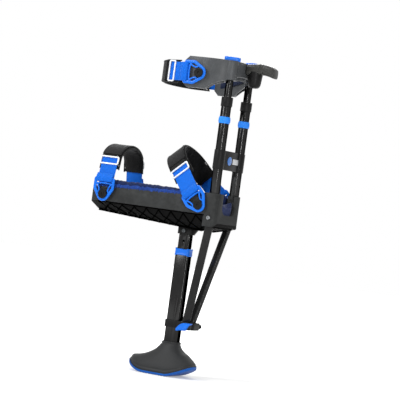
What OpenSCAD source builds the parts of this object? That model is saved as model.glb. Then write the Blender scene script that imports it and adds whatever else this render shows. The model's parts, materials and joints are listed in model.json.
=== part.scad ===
// Hands free crutch: a knee platform on a telescopic leg, with a thigh frame on two uprights.
// Frame: +X forward, +Y to the wearer's left, +Z up. The floor is z = 0 and the leg axis x = y = 0.
// All lengths are in millimetres and all angles in degrees.

/* [Foot] */
// Length of the foot, heel to toe
foot_l = 184; // [150:1:220]
// Width of the foot
foot_w = 104; // [80:1:130]
// Height of the boot's neck above the floor
foot_h = 88; // [70:1:110]
// Distance of the foot's middle behind the leg axis
foot_set_back = 17; // [0:1:30]
// Thickness of the sole
sole_t = 6.5; // [5:0.5:16]
// Length of the level stretch of the rocker sole
sole_flat = 60; // [40:1:110]
// Rise of the sole at the heel
rocker_rise = 24; // [5:1:30]
// Rise of the sole at the toe, as a share of its rise at the heel
toe_share = 1.1; // [1:0.05:1.6]
// Length of the boot's neck, fore and aft
neck_l = 48; // [44:1:60]
// Width of the boot's neck
neck_w = 36; // [32:1:50]

/* [Leg] */
// Fore and aft size of the outer leg tube
leg_x = 39; // [34:1:46]
// Sideways size of the outer leg tube
leg_y = 27; // [24:1:34]
// Corner radius of the outer leg tube
leg_corner = 6.5; // [5.5:0.5:9]
// Wall of the outer leg tube
leg_wall = 3; // [2:0.1:3.5]
// Wall of the inner leg tube
inner_wall = 1.8; // [1.2:0.1:2.4]
// Length of the outer leg tube above the boot
leg_len = 242; // [180:1:320]
// Length of the inner leg tube that shows above the collar
inner_show = 37; // [34:1:80]
// Length of the inner leg tube that stays inside the outer one
inner_hidden = 125; // [110:1:160]
// Height of the leg collar
collar_h = 20; // [14:1:30]
// Thickness of the collar round the leg tube
collar_wall = 1.5; // [1.5:0.5:6]
// Diameter of the setting holes
hole_d = 6.4; // [4:0.1:9]
// Pitch of the setting holes
hole_pitch = 25; // [15:1:35]

/* [Clamp] */
// Height of the clamp's lower edge above the boot
clamp_rise = 39; // [34:1:70]
// Height of the clamp
clamp_h = 19; // [18:1:40]
// Wall of the clamp round the leg tube
clamp_wall = 3.5; // [2.5:0.5:6]
// Reach of the clamp in front of the leg axis
clamp_reach = 66; // [64:1:90]
// Width of the clamp's front block
clamp_w = 52; // [46:1:70]
// Length of the cam lever's blade
lever_l = 36; // [28:1:48]
// Height of the cam lever's barrel
lever_h = 17; // [12:1:22]

/* [Struts] */
// Wide size of a strut's section
strut_wide = 20; // [16:1:30]
// Narrow size of a strut's section
strut_thin = 11; // [8:0.5:14]
// Turn of a strut's section about its own axis
strut_roll = 61; // [0:1:90]
// Distance of the struts' feet in front of the leg axis
strut_foot_x = 40; // [36:1:48]
// Distance of the struts' feet from the middle plane
strut_foot_y = 15; // [12:1:20]

/* [Platform] */
// Reach of the platform behind the leg axis
platform_back = 258; // [200:1:300]
// Reach of the platform in front of the leg axis
platform_front = 112; // [108:1:130]
// Width of the platform
platform_w = 154; // [146:1:190]
// Height of the platform from keel to rim
platform_h = 86; // [70:1:110]
// Width of the platform's keel
keel_w = 68; // [54:1:100]
// Height of the side walls' lower edge above the keel
chine_h = 40; // [25:1:55]
// Wall of the platform shell
shell_wall = 3; // [2:0.5:5]
// Depth of the leg bracket under the keel
bracket_drop = 18; // [14:1:30]
// Wall of the leg bracket
bracket_wall = 5; // [3:0.5:9]

/* [Uprights] */
// Distance of the uprights in front of the leg axis
upright_x = 94; // [85:1:96]
// Distance of the uprights inside the platform's sides
upright_inset = 17; // [17:1:23]
// Diameter of the lower upright tubes
upright_d = 26; // [22:1:27]
// Diameter of the upper upright tubes
upper_d = 20; // [16:1:20]
// Wall of the upright tubes
upright_wall = 1.8; // [1.2:0.1:2.5]
// Height of the lower uprights' top above the keel
upright_h = 340; // [280:1:420]
// Height of a lock ring
ring_h = 17; // [14:1:34]
// Height of the cross panel
panel_h = 50; // [35:1:70]
// Height of the cross panel's lower edge above the keel
panel_rise = 160; // [120:1:200]

/* [Thigh frame] */
// Height of the band's top above the lower uprights
band_rise = 100; // [92:1:140]
// Height of the band at its wings
band_h = 81; // [60:1:84]
// Overhang of the band past the platform's sides
band_over = 23; // [18:1:38]
// Reach of the band in front of the leg axis
band_front = 115; // [112:1:135]
// Reach of the band's wings behind the leg axis
band_back = 20; // [10:1:24]
// Reach of the handle in front of the band
handle_l = 78; // [60:1:110]
// Height of the handle
handle_h = 34; // [26:1:40]
// Width of the handle
handle_w = 40; // [30:1:55]

/* [Straps] */
// Width of the webbing
web_w = 48; // [30:1:52]
// Thickness of the webbing
web_t = 2.4; // [1.5:0.1:4]
// Width of a strap's pad
pad_w = 60; // [50:1:75]
// Thickness of a strap's pad
pad_t = 8; // [5:0.5:12]
// Width of a clip
clip_w = 62; // [58:1:70]
// Thickness of a clip
clip_t = 5; // [3.5:0.5:7]
// Distance of the calf strap behind the leg axis
calf_back = 217; // [180:1:222]
// Height of the calf strap above its posts
calf_high = 134; // [115:1:160]
// Distance of the knee strap's posts in front of the leg axis
knee_ahead = 64; // [30:1:66]
// Backward lean of the knee strap
knee_lean = 41; // [20:1:50]
// Height of the knee strap along its lean
knee_high = 176; // [150:1:210]
// Reach of the thigh strap behind its posts
thigh_reach = 140; // [115:1:160]

/* [Hidden] */
$fn = 48;
// Overrun of a cut past the surface it opens
over = 1;
// Clearance between parts that slide on each other
slide_gap = 0.3;
// Clearance between parts that are fixed to each other
seat_gap = 0.15;
// Clearance round soft parts
soft_gap = 0.6;
// Thickness of the slices that a hull is drawn between
slice = 0.5;

// Levels, from the floor up
leg_top = foot_h + leg_len;
collar_lip = 5;
collar_top = leg_top + collar_lip;
bracket_z = collar_top + inner_show;
keel_z = bracket_z + bracket_drop;
rim_z = keel_z + platform_h;
chine_z = keel_z + chine_h;
clamp_z = foot_h + clamp_rise;
clamp_mid_z = clamp_z + clamp_h / 2;
upright_top = keel_z + upright_h;
band_top = upright_top + band_rise;
panel_z = keel_z + panel_rise;

// Foot
outline_power = 2.7;
toe_power = 1.4;
heel_power = 2.4;
boot_inset = 1.5;
boot_floor = 30;
foot_points = 48;
cap_screw_d = 10;
cap_screw_h = 3.5;
pin_d = 6;

// Leg
inner_x = leg_x - 2 * leg_wall - 2 * slide_gap;
inner_y = leg_y - 2 * leg_wall - 2 * slide_gap;
inner_corner = leg_corner - leg_wall - slide_gap;
inner_top = bracket_z + bracket_drop;
inner_foot = leg_top - inner_hidden;
hole_first = bracket_z - bracket_drop;
hole_count = 5;
plug_h = 12;

// Platform
half_w = platform_w / 2;
upright_y = half_w - upright_inset;
half_keel = keel_w / 2;
nose_l = 23;
nose_in = 10;
nose_rise = 17;
keel_rise = 18;
rim_fall = 8;
keel_bend_x = 60;
prow_rise = 10;
gusset_l = 22;
corner_r = 20;
prow_r = 12;
prow_inset = 19;
prow_half = half_w - prow_inset;
front_wall = 8;
column_wall = 3;
column_r = upright_d / 2 + column_wall;
column_rise = 11;
column_top = rim_z + column_rise;
column_foot = keel_z + prow_rise;
notch_inset = 20;
notch_half = upright_y - notch_inset;
notch_depth = 42;
notch_z = rim_z - notch_depth;
notch_r = 22;
back_lip = 10;
rib_t = 3;
rib_h = 5;
rib_count = 7;
rib_span = 180;
rib_inset = 40;
rib_start = rib_inset - platform_back;
ear_t = 6;
ear_h = 50;
ear_w = 9;
ear_y = upright_y - upright_d / 2 - seat_gap;

// Uprights
upright_r = upright_d / 2;
upper_r = upper_d / 2;
upright_seat = 46;
upright_foot = keel_z + upright_seat;
bushing_h = 24;
bushing_up = 6;
bushing_wall = 2;
ring_drop = 45;
ring_wall = 1.8;
ring_ribs = 12;
rib_r = 0.7;
sleeve_wall = 1.8;
panel_bow = 8;
panel_t = 4;
upper_hidden = 125;
screw_rise = 33;
pin_z = keel_z + screw_rise;

// Struts: the axis runs from a foot in the clamp to the screw in the column
strut_a = [strut_foot_x, -strut_foot_y, clamp_z + clamp_h / 4];
strut_b = [upright_x, -upright_y, pin_z];
strut_run = strut_b - strut_a;
strut_len = norm(strut_run);
strut_tilt = acos(strut_run[2] / strut_len);
strut_turn = atan2(strut_run[1], strut_run[0]);
strut_past = 9;

// Clamp
block_x = leg_x / 2;
lever_inset = 6;
lever_x = clamp_reach - lever_inset;
lever_r = 9;
lever_y = clamp_w / 2 + lever_r + slide_gap;
lever_t = 6;
skewer_d = 6;
split_w = 2;
blade_steps = 8;
tip_share = 0.6;
droop_shares = [0.22, 0.3, 0.95, 0.8];

// Thigh frame
band_cx = -11;
band_w = platform_w + 2 * band_over;
band_half = band_w / 2;
band_power = 3.2;
thigh_power = 2.2;
thigh_front = 100;
wing_t = 8;
thigh_half = band_half - wing_t;
band_skin = 4;
band_points = 72;
socket_wall = 4;
band_rib_r = upper_r + 2 * socket_wall;
band_rib_h = 50;
socket_r = upper_r + socket_wall;
cap_l = 42;
cap_w = 18;
cap_h = 10;
liner_t = 5;

// Straps
post_r = 10;
post_base_r = 15;
post_base_h = 4;
post_head_r = 12.5;
post_head_h = 3;
ring_in_r = post_r + soft_gap;
clip_bottom_r = 19;
clip_top = 45;
clip_shoulder = 18;
clip_corner = 4;
window_low = 30.5;
window_high = 38;
window_slack = 4;
window_w = web_w + window_slack;
slider_h = 23;
slider_t = 4;
slider_bar = 4;
slider_w = web_w + 2 * slider_bar;
calf_post_drop = 28;
calf_post_z = rim_z - calf_post_drop;
knee_post_drop = 24;
knee_post_z = rim_z - knee_post_drop;
thigh_post_drop = 42;
thigh_post_z = band_top - thigh_post_drop;
thigh_post_x = 27;
arch_steps = 16;
flap_l = 26;

// Shares of a length
half_share = 0.5;
edge_share = 0.55;

// Functions for outlines and lofted solids
function sgn(v) = v < 0 ? -1 : 1;
function egg(a, b, p, deg) = [
    a * sgn(cos(deg)) * pow(abs(cos(deg)), 2 / p),
    b * sgn(sin(deg)) * pow(abs(sin(deg)), 2 / p)
];
function rocker(x) =
    let (u = max(0, abs(x + foot_set_back) - sole_flat / 2) / (foot_l / 2 - sole_flat / 2))
    x > -foot_set_back ? rocker_rise * toe_share * pow(u, toe_power) : rocker_rise * pow(u, heel_power);
function mix(a, b, t) = a + (b - a) * t;
function loft_faces(m, n) = concat(
    [for (i = [0 : m - 2], j = [0 : n - 1])
        [i * n + j, (i + 1) * n + j, i * n + (j + 1) % n]],
    [for (i = [0 : m - 2], j = [0 : n - 1])
        [i * n + (j + 1) % n, (i + 1) * n + j, (i + 1) * n + (j + 1) % n]],
    [for (j = [0 : n / 2 - 2]) [j, j + 1, n - 1 - j]],
    [for (j = [0 : n / 2 - 2]) if (n - 2 - j != j + 1) [j + 1, n - 2 - j, n - 1 - j]],
    [for (j = [0 : n / 2 - 2]) [(m - 1) * n + j + 1, (m - 1) * n + j, (m - 1) * n + n - 1 - j]],
    [for (j = [0 : n / 2 - 2]) if (n - 2 - j != j + 1)
        [(m - 1) * n + n - 2 - j, (m - 1) * n + j + 1, (m - 1) * n + n - 1 - j]]
);

module loft(rings) {
    polyhedron(
        points = [for (ring = rings) each ring],
        faces = loft_faces(len(rings), len(rings[0])),
        convexity = 6
    );
}

module both_sides() {
    children();
    mirror([0, 1, 0]) children();
}

module round_rect(x, y, r) {
    square([x - 2 * r, y], center = true);
    square([x, y - 2 * r], center = true);
    for (sx = [-1, 1], sy = [-1, 1])
        translate([sx * (x / 2 - r), sy * (y / 2 - r)]) circle(r);
}

module bar(x, y, r, h) {
    linear_extrude(h) round_rect(x, y, r);
}

module stadium(l, w) {
    square([l - w, w], center = true);
    for (s = [-1, 1]) translate([s * (l - w) / 2, 0]) circle(w / 2);
}

module rod_y(r, y0, y1) {
    translate([0, y0, 0]) rotate([-90, 0, 0]) cylinder(r = r, h = y1 - y0);
}

// Foot
module sole_profile(lift) {
    xs = [for (i = [0 : foot_points]) mix(-foot_l / 2, foot_l / 2, i / foot_points) - foot_set_back];
    polygon(concat(
        [for (x = xs) [x, rocker(x) + lift]],
        [for (i = [foot_points : -1 : 0]) [xs[i], rocker(xs[i]) + lift + sole_t]]
    ));
}

module foot_sole() {
    color("#1f5fb0")
    intersection() {
        translate([-foot_set_back, 0, 0]) linear_extrude(foot_h)
            polygon([for (i = [0 : foot_points - 1])
                egg(foot_l / 2, foot_w / 2, outline_power, 360 * i / foot_points)]);
        translate([0, foot_w / 2, 0]) rotate([90, 0, 0]) linear_extrude(foot_w) sole_profile(0);
    }
}

flare_shares = [1, 0.985, 0.95, 0.86, 0.68, 0.5, 0.33, 0.17, 0.05, 0];
toe_shares = [1, 0.98, 0.93, 0.83, 0.68, 0.5, 0.24, 0.05, 0.01, 0];
heel_shares = [1, 0.985, 0.96, 0.9, 0.68, 0.4, 0.2, 0.08, 0.02, 0];
rise_shares = [0, 0.08, 0.18, 0.3, 0.44, 0.58, 0.71, 0.84, 0.94, 1];

function boot_ring(k) =
    let (
        toe = mix(neck_l / 2, foot_l / 2 - boot_inset - foot_set_back, toe_shares[k]),
        heel = mix(neck_l / 2, foot_l / 2 - boot_inset + foot_set_back, heel_shares[k]),
        b = mix(neck_w / 2, foot_w / 2 - boot_inset, flare_shares[k]),
        pts = [for (i = [0 : foot_points - 1])
            egg(1, b, outline_power, 360 * (i + half_share) / foot_points)]
    )
    [for (p = pts)
        let (x = p[0] * (p[0] > 0 ? toe : heel))
        [x, p[1], mix(rocker(x) + sole_t + seat_gap, foot_h, rise_shares[k])]];

module foot_boot() {
    color("#303030")
    difference() {
        loft([for (k = [0 : len(flare_shares) - 1]) boot_ring(k)]);
        translate([0, 0, boot_floor])
            bar(leg_x + 2 * seat_gap, leg_y + 2 * seat_gap, leg_corner + seat_gap, foot_h);
        translate([0, 0, foot_h - cap_screw_d - pin_d])
            rod_y(pin_d / 2 + seat_gap, -foot_w / 2, foot_w / 2);
        both_sides() translate([0, 0, foot_h - cap_screw_d - pin_d])
            rod_y(cap_screw_d / 2 + seat_gap, -foot_w / 2, -neck_w / 2 + seat_gap);
    }
}

module foot_bolt() {
    color("#b8bcc0")
    translate([0, 0, foot_h - cap_screw_d - pin_d]) {
        rod_y(pin_d / 2, -neck_w / 2 - over, neck_w / 2 + over);
        both_sides() rod_y(cap_screw_d / 2, -neck_w / 2 - cap_screw_h, -neck_w / 2);
    }
}

// Leg
module leg_tube() {
    color("#2d2d2d")
    difference() {
        translate([0, 0, boot_floor + seat_gap])
            bar(leg_x, leg_y, leg_corner, leg_top - boot_floor - seat_gap);
        translate([0, 0, boot_floor - over])
            bar(leg_x - 2 * leg_wall, leg_y - 2 * leg_wall, leg_corner - leg_wall, leg_top);
        translate([0, 0, foot_h - cap_screw_d - pin_d]) rod_y(pin_d / 2 + seat_gap, -leg_y, leg_y);
    }
}

module leg_collar() {
    color("#3f9cff")
    difference() {
        translate([0, 0, collar_top - collar_h])
            bar(leg_x + 2 * collar_wall, leg_y + 2 * collar_wall, leg_corner + collar_wall, collar_h);
        translate([0, 0, collar_top - collar_h - over])
            bar(leg_x + 2 * seat_gap, leg_y + 2 * seat_gap, leg_corner + seat_gap,
                collar_h - collar_lip + over + seat_gap);
        translate([0, 0, leg_top - over])
            bar(inner_x + 2 * slide_gap, inner_y + 2 * slide_gap, inner_corner + slide_gap, collar_h);
    }
}

module inner_tube() {
    color("#2a2a2a")
    difference() {
        translate([0, 0, inner_foot]) bar(inner_x, inner_y, inner_corner, inner_top - inner_foot - seat_gap);
        translate([0, 0, inner_foot - over])
            bar(inner_x - 2 * inner_wall, inner_y - 2 * inner_wall, inner_corner - inner_wall,
                inner_top - inner_foot + 2 * over);
        for (i = [0 : hole_count - 1])
            translate([0, 0, hole_first - i * hole_pitch]) rod_y(hole_d / 2, -leg_y, leg_y);
        translate([0, 0, bracket_z + bracket_drop / 2]) rod_y(pin_d / 2 + seat_gap, -leg_y, leg_y);
    }
}

module inner_plug() {
    color("#1c1c1c")
    translate([0, 0, inner_foot])
        bar(inner_x - 2 * inner_wall - 2 * seat_gap, inner_y - 2 * inner_wall - 2 * seat_gap,
            inner_corner - inner_wall, plug_h);
}

// Struts
module strut_shape(extra) {
    translate(strut_a) rotate([0, strut_tilt, strut_turn]) rotate([0, 0, strut_roll])
        translate([0, 0, -extra])
            linear_extrude(strut_len + strut_past + 2 * extra)
                stadium(strut_wide + 2 * extra, strut_thin + 2 * extra);
}

module strut_holes() {
    translate([strut_b[0], 0, strut_b[2]])
        rod_y(pin_d / 2 + seat_gap, -platform_w, platform_w);
    translate([strut_a[0], 0, strut_a[2] + pin_d / 2])
        rod_y(pin_d / 2 + seat_gap, -platform_w, platform_w);
}

module near_strut() {
    color("#2b2b2b")
    difference() {
        strut_shape(0);
        strut_holes();
    }
}

module far_strut() {
    color("#2b2b2b") mirror([0, 1, 0])
    difference() {
        strut_shape(0);
        strut_holes();
    }
}

module strut_bolt() {
    color("#b8bcc0")
    translate([strut_a[0], 0, strut_a[2] + pin_d / 2]) {
        rod_y(pin_d / 2, -clamp_w / 2 - over, clamp_w / 2 + over);
        both_sides() rod_y(cap_screw_d / 2, -clamp_w / 2 - cap_screw_h, -clamp_w / 2);
    }
}

// Clamp
module strut_clamp() {
    color("#262626")
    difference() {
        union() {
            translate([0, 0, clamp_z])
                bar(leg_x + 2 * clamp_wall, leg_y + 2 * clamp_wall, leg_corner + clamp_wall, clamp_h);
            translate([block_x, -clamp_w / 2, clamp_z])
                cube([clamp_reach - block_x - clamp_w / 4, clamp_w, clamp_h]);
            translate([clamp_reach - clamp_w / 4, clamp_w / 4, clamp_z])
                cylinder(r = clamp_w / 4, h = clamp_h);
            translate([clamp_reach - clamp_w / 4, -clamp_w / 4, clamp_z])
                cylinder(r = clamp_w / 4, h = clamp_h);
            translate([clamp_reach - clamp_w / 4, -clamp_w / 4, clamp_z])
                cube([clamp_w / 4, clamp_w / 2, clamp_h]);
        }
        translate([0, 0, clamp_z - over])
            bar(leg_x + 2 * slide_gap, leg_y + 2 * slide_gap, leg_corner + slide_gap, clamp_h + 2 * over);
        both_sides() strut_shape(seat_gap);
        translate([strut_a[0], 0, strut_a[2] + pin_d / 2])
            rod_y(pin_d / 2 + seat_gap, -clamp_w, clamp_w);
        translate([lever_x, 0, clamp_mid_z]) rod_y(skewer_d / 2 + seat_gap, -clamp_w, clamp_w);
        translate([-leg_x, -split_w / 2, clamp_z - over])
            cube([leg_x, split_w, clamp_h + 2 * over]);
    }
}

module clamp_skewer() {
    color("#b8bcc0")
    translate([lever_x, 0, clamp_mid_z]) {
        rod_y(skewer_d / 2, -lever_y + skewer_d, clamp_w / 2 + over);
        rod_y(cap_screw_d / 2 + over, clamp_w / 2, clamp_w / 2 + cap_screw_h + over);
    }
}

module cam_pin() {
    color("#b8bcc0")
    translate([lever_x, -lever_y, clamp_mid_z - lever_h / 2 - over])
        cylinder(d = pin_d, h = lever_h + 2 * over);
}

module cam_yoke() {
    color("#8f959b")
    difference() {
        translate([lever_x, -lever_y, clamp_mid_z - lever_h / 4 + slide_gap])
            cylinder(r = pin_d, h = lever_h / 2 - 2 * slide_gap);
        translate([lever_x, -lever_y, clamp_mid_z - lever_h])
            cylinder(r = pin_d / 2 + seat_gap, h = 2 * lever_h);
        translate([lever_x, 0, clamp_mid_z])
            rod_y(skewer_d / 2 + seat_gap, -lever_y + pin_d / 2, clamp_w);
    }
}

function blade_edge(side) = [for (i = [0 : blade_steps])
    let (s = i / blade_steps)
    [
        -lever_l * s,
        -(lever_r - lever_t / 2 - over) * (1 - s * s) + side * lever_t / 2 * mix(1, tip_share, s)
    ]];

module cam_lever() {
    near = blade_edge(-1);
    far = blade_edge(1);
    color("#1e82ff")
    translate([lever_x, -lever_y, clamp_mid_z])
    difference() {
        union() {
            translate([0, 0, -lever_h / 2]) cylinder(r = lever_r, h = lever_h);
            intersection() {
                translate([0, 0, -lever_h]) linear_extrude(2 * lever_h)
                    polygon(concat(near, [for (i = [blade_steps : -1 : 0]) far[i]]));
                translate([0, lever_y, 0]) rotate([90, 0, 0]) linear_extrude(2 * lever_y)
                    polygon([
                        [over, lever_h / 2 - over], [-lever_l / 2, lever_h * droop_shares[0]],
                        [-lever_l, -lever_h * droop_shares[1]], [-lever_l, -lever_h * droop_shares[2]],
                        [-lever_l / 2, -lever_h * droop_shares[3]], [over, over - lever_h / 2]
                    ]);
            }
        }
        translate([0, 0, -lever_h]) cylinder(r = pin_d / 2 + slide_gap, h = 2 * lever_h);
        translate([0, 0, -lever_h / 4]) cylinder(r = pin_d + slide_gap, h = lever_h / 2);
        translate([-skewer_d, 0, -lever_h / 4]) cube([lever_r + skewer_d, lever_r + over, lever_h / 2]);
        translate([0, -lever_r - over, -lever_h / 4]) cube([lever_r + over, lever_r + 2 * over, lever_h / 2]);
    }
}

// Platform
module body_slab(x, half_top, half_low, top, chine, keel) {
    translate([x, 0, 0]) rotate([90, 0, 90]) linear_extrude(slice)
        polygon([
            [-half_top, top], [-half_top, chine], [-half_low, keel],
            [half_low, keel], [half_top, chine], [half_top, top]
        ]);
}

module platform_body() {
    hull() {
        body_slab(-platform_back, half_w - nose_in, half_keel - nose_in,
            rim_z - rim_fall, chine_z + nose_rise / 2, keel_z + keel_rise + nose_rise);
        body_slab(-platform_back + nose_l, half_w, half_keel,
            rim_z - rim_fall, chine_z, keel_z + keel_rise);
        body_slab(keel_bend_x, half_w, half_keel, rim_z, chine_z, keel_z);
        body_slab(platform_front - slice, half_w, prow_half, rim_z, chine_z, column_foot);
    }
}

module platform_cavity(top) {
    hull() {
        body_slab(-platform_back + shell_wall, half_w - nose_in - shell_wall,
            half_keel - nose_in - shell_wall, top, chine_z + nose_rise / 2 + shell_wall / 2,
            keel_z + keel_rise + nose_rise + shell_wall);
        body_slab(-platform_back + nose_l, half_w - shell_wall, half_keel - shell_wall / 2,
            top, chine_z + shell_wall / 2, keel_z + keel_rise + shell_wall);
        body_slab(keel_bend_x, half_w - shell_wall, half_keel - shell_wall / 2,
            top, chine_z + shell_wall / 2, keel_z + shell_wall);
        body_slab(platform_front - front_wall, half_w - shell_wall, prow_half - shell_wall / 2,
            top, chine_z + shell_wall / 2, column_foot + shell_wall);
    }
}

module platform_ribs() {
    for (i = [0 : rib_count - 1])
        let (x = rib_start + i * rib_span / (rib_count - 1))
        translate([x, 0, 0]) rotate([90, 0, 90]) linear_extrude(rib_t)
            polygon([
                [-half_w + shell_wall, chine_z + shell_wall], [-half_w + shell_wall, chine_z - rib_h],
                [-half_keel, keel_at(x) - rib_h], [half_keel, keel_at(x) - rib_h],
                [half_w - shell_wall, chine_z - rib_h], [half_w - shell_wall, chine_z + shell_wall]
            ]);
}

module platform_ears() {
    both_sides() translate([upright_x, 0, 0]) rotate([90, 0, 90]) linear_extrude(ear_t)
        polygon([
            [-ear_y, column_top - ear_w], [-ear_y + ear_w, column_top - ear_w],
            [-ear_y + rib_t, column_top + ear_h], [-ear_y, column_top + ear_h]
        ]);
}

module corner_waste() {
    both_sides() translate([platform_front - corner_r, -half_w + corner_r, keel_z - platform_h])
        linear_extrude(4 * platform_h) difference() {
            translate([0, -corner_r - over]) square([corner_r + over, corner_r + over]);
            circle(corner_r);
        }
    translate([platform_front - prow_r, half_w + over, column_foot + prow_r]) rotate([90, 0, 0])
        linear_extrude(platform_w + 2 * over) difference() {
            translate([0, -prow_r - over]) square([prow_r + over, prow_r + over]);
            circle(prow_r);
        }
}

module platform_shell() {
    color("#3f3f3f")
    difference() {
        union() {
            difference() {
                union() {
                    platform_body();
                    platform_ribs();
                }
                platform_cavity(column_top);
            }
            both_sides() intersection() {
                translate([upright_x, -upright_y, column_foot]) {
                    cylinder(r = column_r, h = column_top - column_foot);
                    translate([0, -column_r, 0])
                        cube([platform_front - upright_x, 2 * column_r, column_top - column_foot]);
                    translate([-column_r, -half_w + upright_y, 0])
                        cube([2 * column_r, half_w - upright_y, column_top - column_foot]);
                }
                translate([0, -half_w, column_foot])
                    cube([platform_front, half_w, column_top - column_foot]);
            }
            translate([platform_front - front_wall, -upright_y, chine_z])
                cube([front_wall, 2 * upright_y, column_top - chine_z]);
            platform_ears();
        }
        both_sides() {
            translate([upright_x, -upright_y, upright_foot - seat_gap])
                cylinder(r = upright_r + seat_gap, h = upright_h);
            strut_shape(seat_gap);
        }
        translate([strut_b[0], 0, strut_b[2]]) rod_y(pin_d / 2 + seat_gap, -platform_w, platform_w);
        translate([platform_front - front_wall - over, 0, notch_z + notch_r]) rotate([90, 0, 90])
            linear_extrude(front_wall + 2 * over) {
                translate([-notch_half, 0]) square([2 * notch_half, column_top]);
                translate([-notch_half + notch_r, -notch_r])
                    square([2 * notch_half - 2 * notch_r, column_top]);
                for (side = [-1, 1]) translate([side * (notch_half - notch_r), 0]) circle(notch_r);
            }
        translate([-platform_back - over, -half_w + nose_in + shell_wall, chine_z + back_lip])
            cube([nose_l, platform_w - 2 * nose_in - 2 * shell_wall, platform_h]);
        corner_waste();
    }
}

module leg_bracket() {
    color("#262626")
    difference() {
        union() {
            translate([0, 0, bracket_z])
                bar(inner_x + 2 * bracket_wall, inner_y + 2 * bracket_wall,
                    inner_corner + bracket_wall, platform_h / 2);
            translate([0, bracket_wall, 0]) rotate([90, 0, 0]) linear_extrude(2 * bracket_wall)
                polygon([
                    [inner_x / 2 + over, bracket_z], [inner_x / 2 + bracket_wall + over, bracket_z],
                    [inner_x / 2 + gusset_l, keel_z + bracket_wall], [inner_x / 2 + over, keel_z + bracket_wall]
                ]);
        }
        platform_body();
        translate([0, 0, bracket_z - over])
            bar(inner_x + 2 * seat_gap, inner_y + 2 * seat_gap, inner_corner + seat_gap, platform_h);
        translate([0, 0, bracket_z + bracket_drop / 2]) rod_y(pin_d / 2 + seat_gap, -leg_x, leg_x);
        translate([-half_w, -half_w, rim_z - platform_h / 2]) cube(platform_w);
    }
}

module bracket_bolt() {
    color("#c4c8cc")
    translate([0, 0, bracket_z + bracket_drop / 2]) {
        rod_y(pin_d / 2, -inner_y / 2 - bracket_wall - over, inner_y / 2 + bracket_wall + over);
        both_sides() rod_y(cap_screw_d / 2, -inner_y / 2 - bracket_wall - cap_screw_h,
            -inner_y / 2 - bracket_wall);
    }
}

module side_screws() {
    color("#c4c8cc")
    both_sides() translate([strut_b[0], 0, strut_b[2]]) {
        rod_y(pin_d / 2, -half_w - over, -upright_y + pin_d);
        rod_y(cap_screw_d / 2, -half_w - cap_screw_h, -half_w);
    }
}

// Knee pads: a trough with crowned shoulders, drawn-in ends and sewn cross channels
trough_points = 14;
trough_wall = 20;
trough_half = half_w - trough_wall;
trough_rise = 50;
trough_z = keel_z + trough_rise;
shoulder_rise = 16;
shoulder_z = rim_z + shoulder_rise;
pad_edge = 4;
pad_lip = 7;
pad_inset = 9;
pad_back_x = -platform_back + pad_inset;
pad_front_x = upright_x - column_r - soft_gap;
along_shares = [0, 0.012, 0.06, 0.26, 0.28, 0.3, 0.57, 0.59, 0.61, 0.96, 1];
swell_shares = [0.15, 0.7, 1, 1, 0.8, 1, 1, 0.8, 1, 0.9, 0.4];

function keel_at(x) =
    let (nose_x = nose_l - platform_back)
    x < nose_x ? mix(keel_z + keel_rise + nose_rise, keel_z + keel_rise, (x + platform_back) / nose_l)
    : x < keel_bend_x ? mix(keel_z + keel_rise, keel_z, (x - nose_x) / (keel_bend_x - nose_x))
    : mix(keel_z, column_foot, (x - keel_bend_x) / (platform_front - keel_bend_x));
function half_at(x) = x < nose_l - platform_back
    ? mix(half_w - nose_in, half_w, (x + platform_back) / nose_l) : half_w;
function chine_at(x) = x < nose_l - platform_back
    ? mix(chine_z + nose_rise / 2, chine_z, (x + platform_back) / nose_l) : chine_z;
function mirrored(pts) = concat(pts, [for (i = [len(pts) - 1 : -1 : 0]) [pts[i][0], -pts[i][1], pts[i][2]]]);
function pad_ring(x, swell) =
    let (
        slack = pad_edge * (1 - swell),
        out = half_at(x) - shell_wall - soft_gap - slack,
        low = half_keel - 2 * shell_wall - nose_in,
        floor_z = keel_at(x) + 2 * shell_wall + slack,
        chine = chine_at(x) + slack,
        top = mix(rim_z, shoulder_z, swell),
        dip = trough_z - slack,
        trough = min(trough_half, out - pad_lip),
        outer = mirrored([
            [x, -out + pad_edge, top], [x, -out, top - pad_edge], [x, -out, mix(top, chine, half_share)],
            [x, -out, chine + pad_edge], [x, -out + pad_edge, chine + shell_wall],
            [x, -low, floor_z], [x, -low / 2, floor_z]
        ]),
        inner = [for (i = [0 : trough_points - 1])
            let (deg = 90 - 180 * i / (trough_points - 1))
            [x, trough * sin(deg), top - (top - dip) * cos(deg)]]
    )
    concat(outer, inner);

module knee_pad() {
    color("#22345c")
    loft([for (i = [0 : len(along_shares) - 1])
        pad_ring(mix(pad_back_x, pad_front_x, along_shares[i]), swell_shares[i])]);
}

front_pad_t = 20;
front_pad_gap = 3;
front_pad_half = upright_y - column_r - front_pad_gap;
front_pad_low = column_foot + trough_wall / 2;
front_pad_sag = 8;
front_pad_steps = 6;

function front_pad_ring(s) =
    let (
        y = mix(-front_pad_half, front_pad_half, s),
        t = front_pad_t * mix(half_share, 1, sin(180 * s)),
        low = front_pad_low,
        high = rim_z - pad_edge - front_pad_sag * sin(180 * s),
        mid = mix(low, high, half_share)
    )
    [
        [-pad_edge, y, low], [0, y, low + pad_edge], [0, y, mid],
        [0, y, high - pad_edge], [-pad_edge, y, high],
        [pad_edge - t, y, high], [-t, y, high - 2 * pad_edge], [-t - pad_edge / 2, y, mid],
        [-t, y, low + 2 * pad_edge], [pad_edge - t, y, low]
    ];

module front_pad() {
    color("#22345c")
    translate([platform_front - front_wall - soft_gap, 0, 0])
        loft([for (k = [0 : front_pad_steps]) front_pad_ring(k / front_pad_steps)]);
}

// Uprights
module lower_upright() {
    translate([upright_x, -upright_y, 0])
    difference() {
        translate([0, 0, upright_foot]) cylinder(r = upright_r, h = upright_top - upright_foot);
        translate([0, 0, upright_foot - over])
            cylinder(r = upright_r - upright_wall, h = upright_top - upright_foot + 2 * over);
    }
}

module near_lower_upright() {
    color("#2d2d2d") lower_upright();
}

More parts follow.
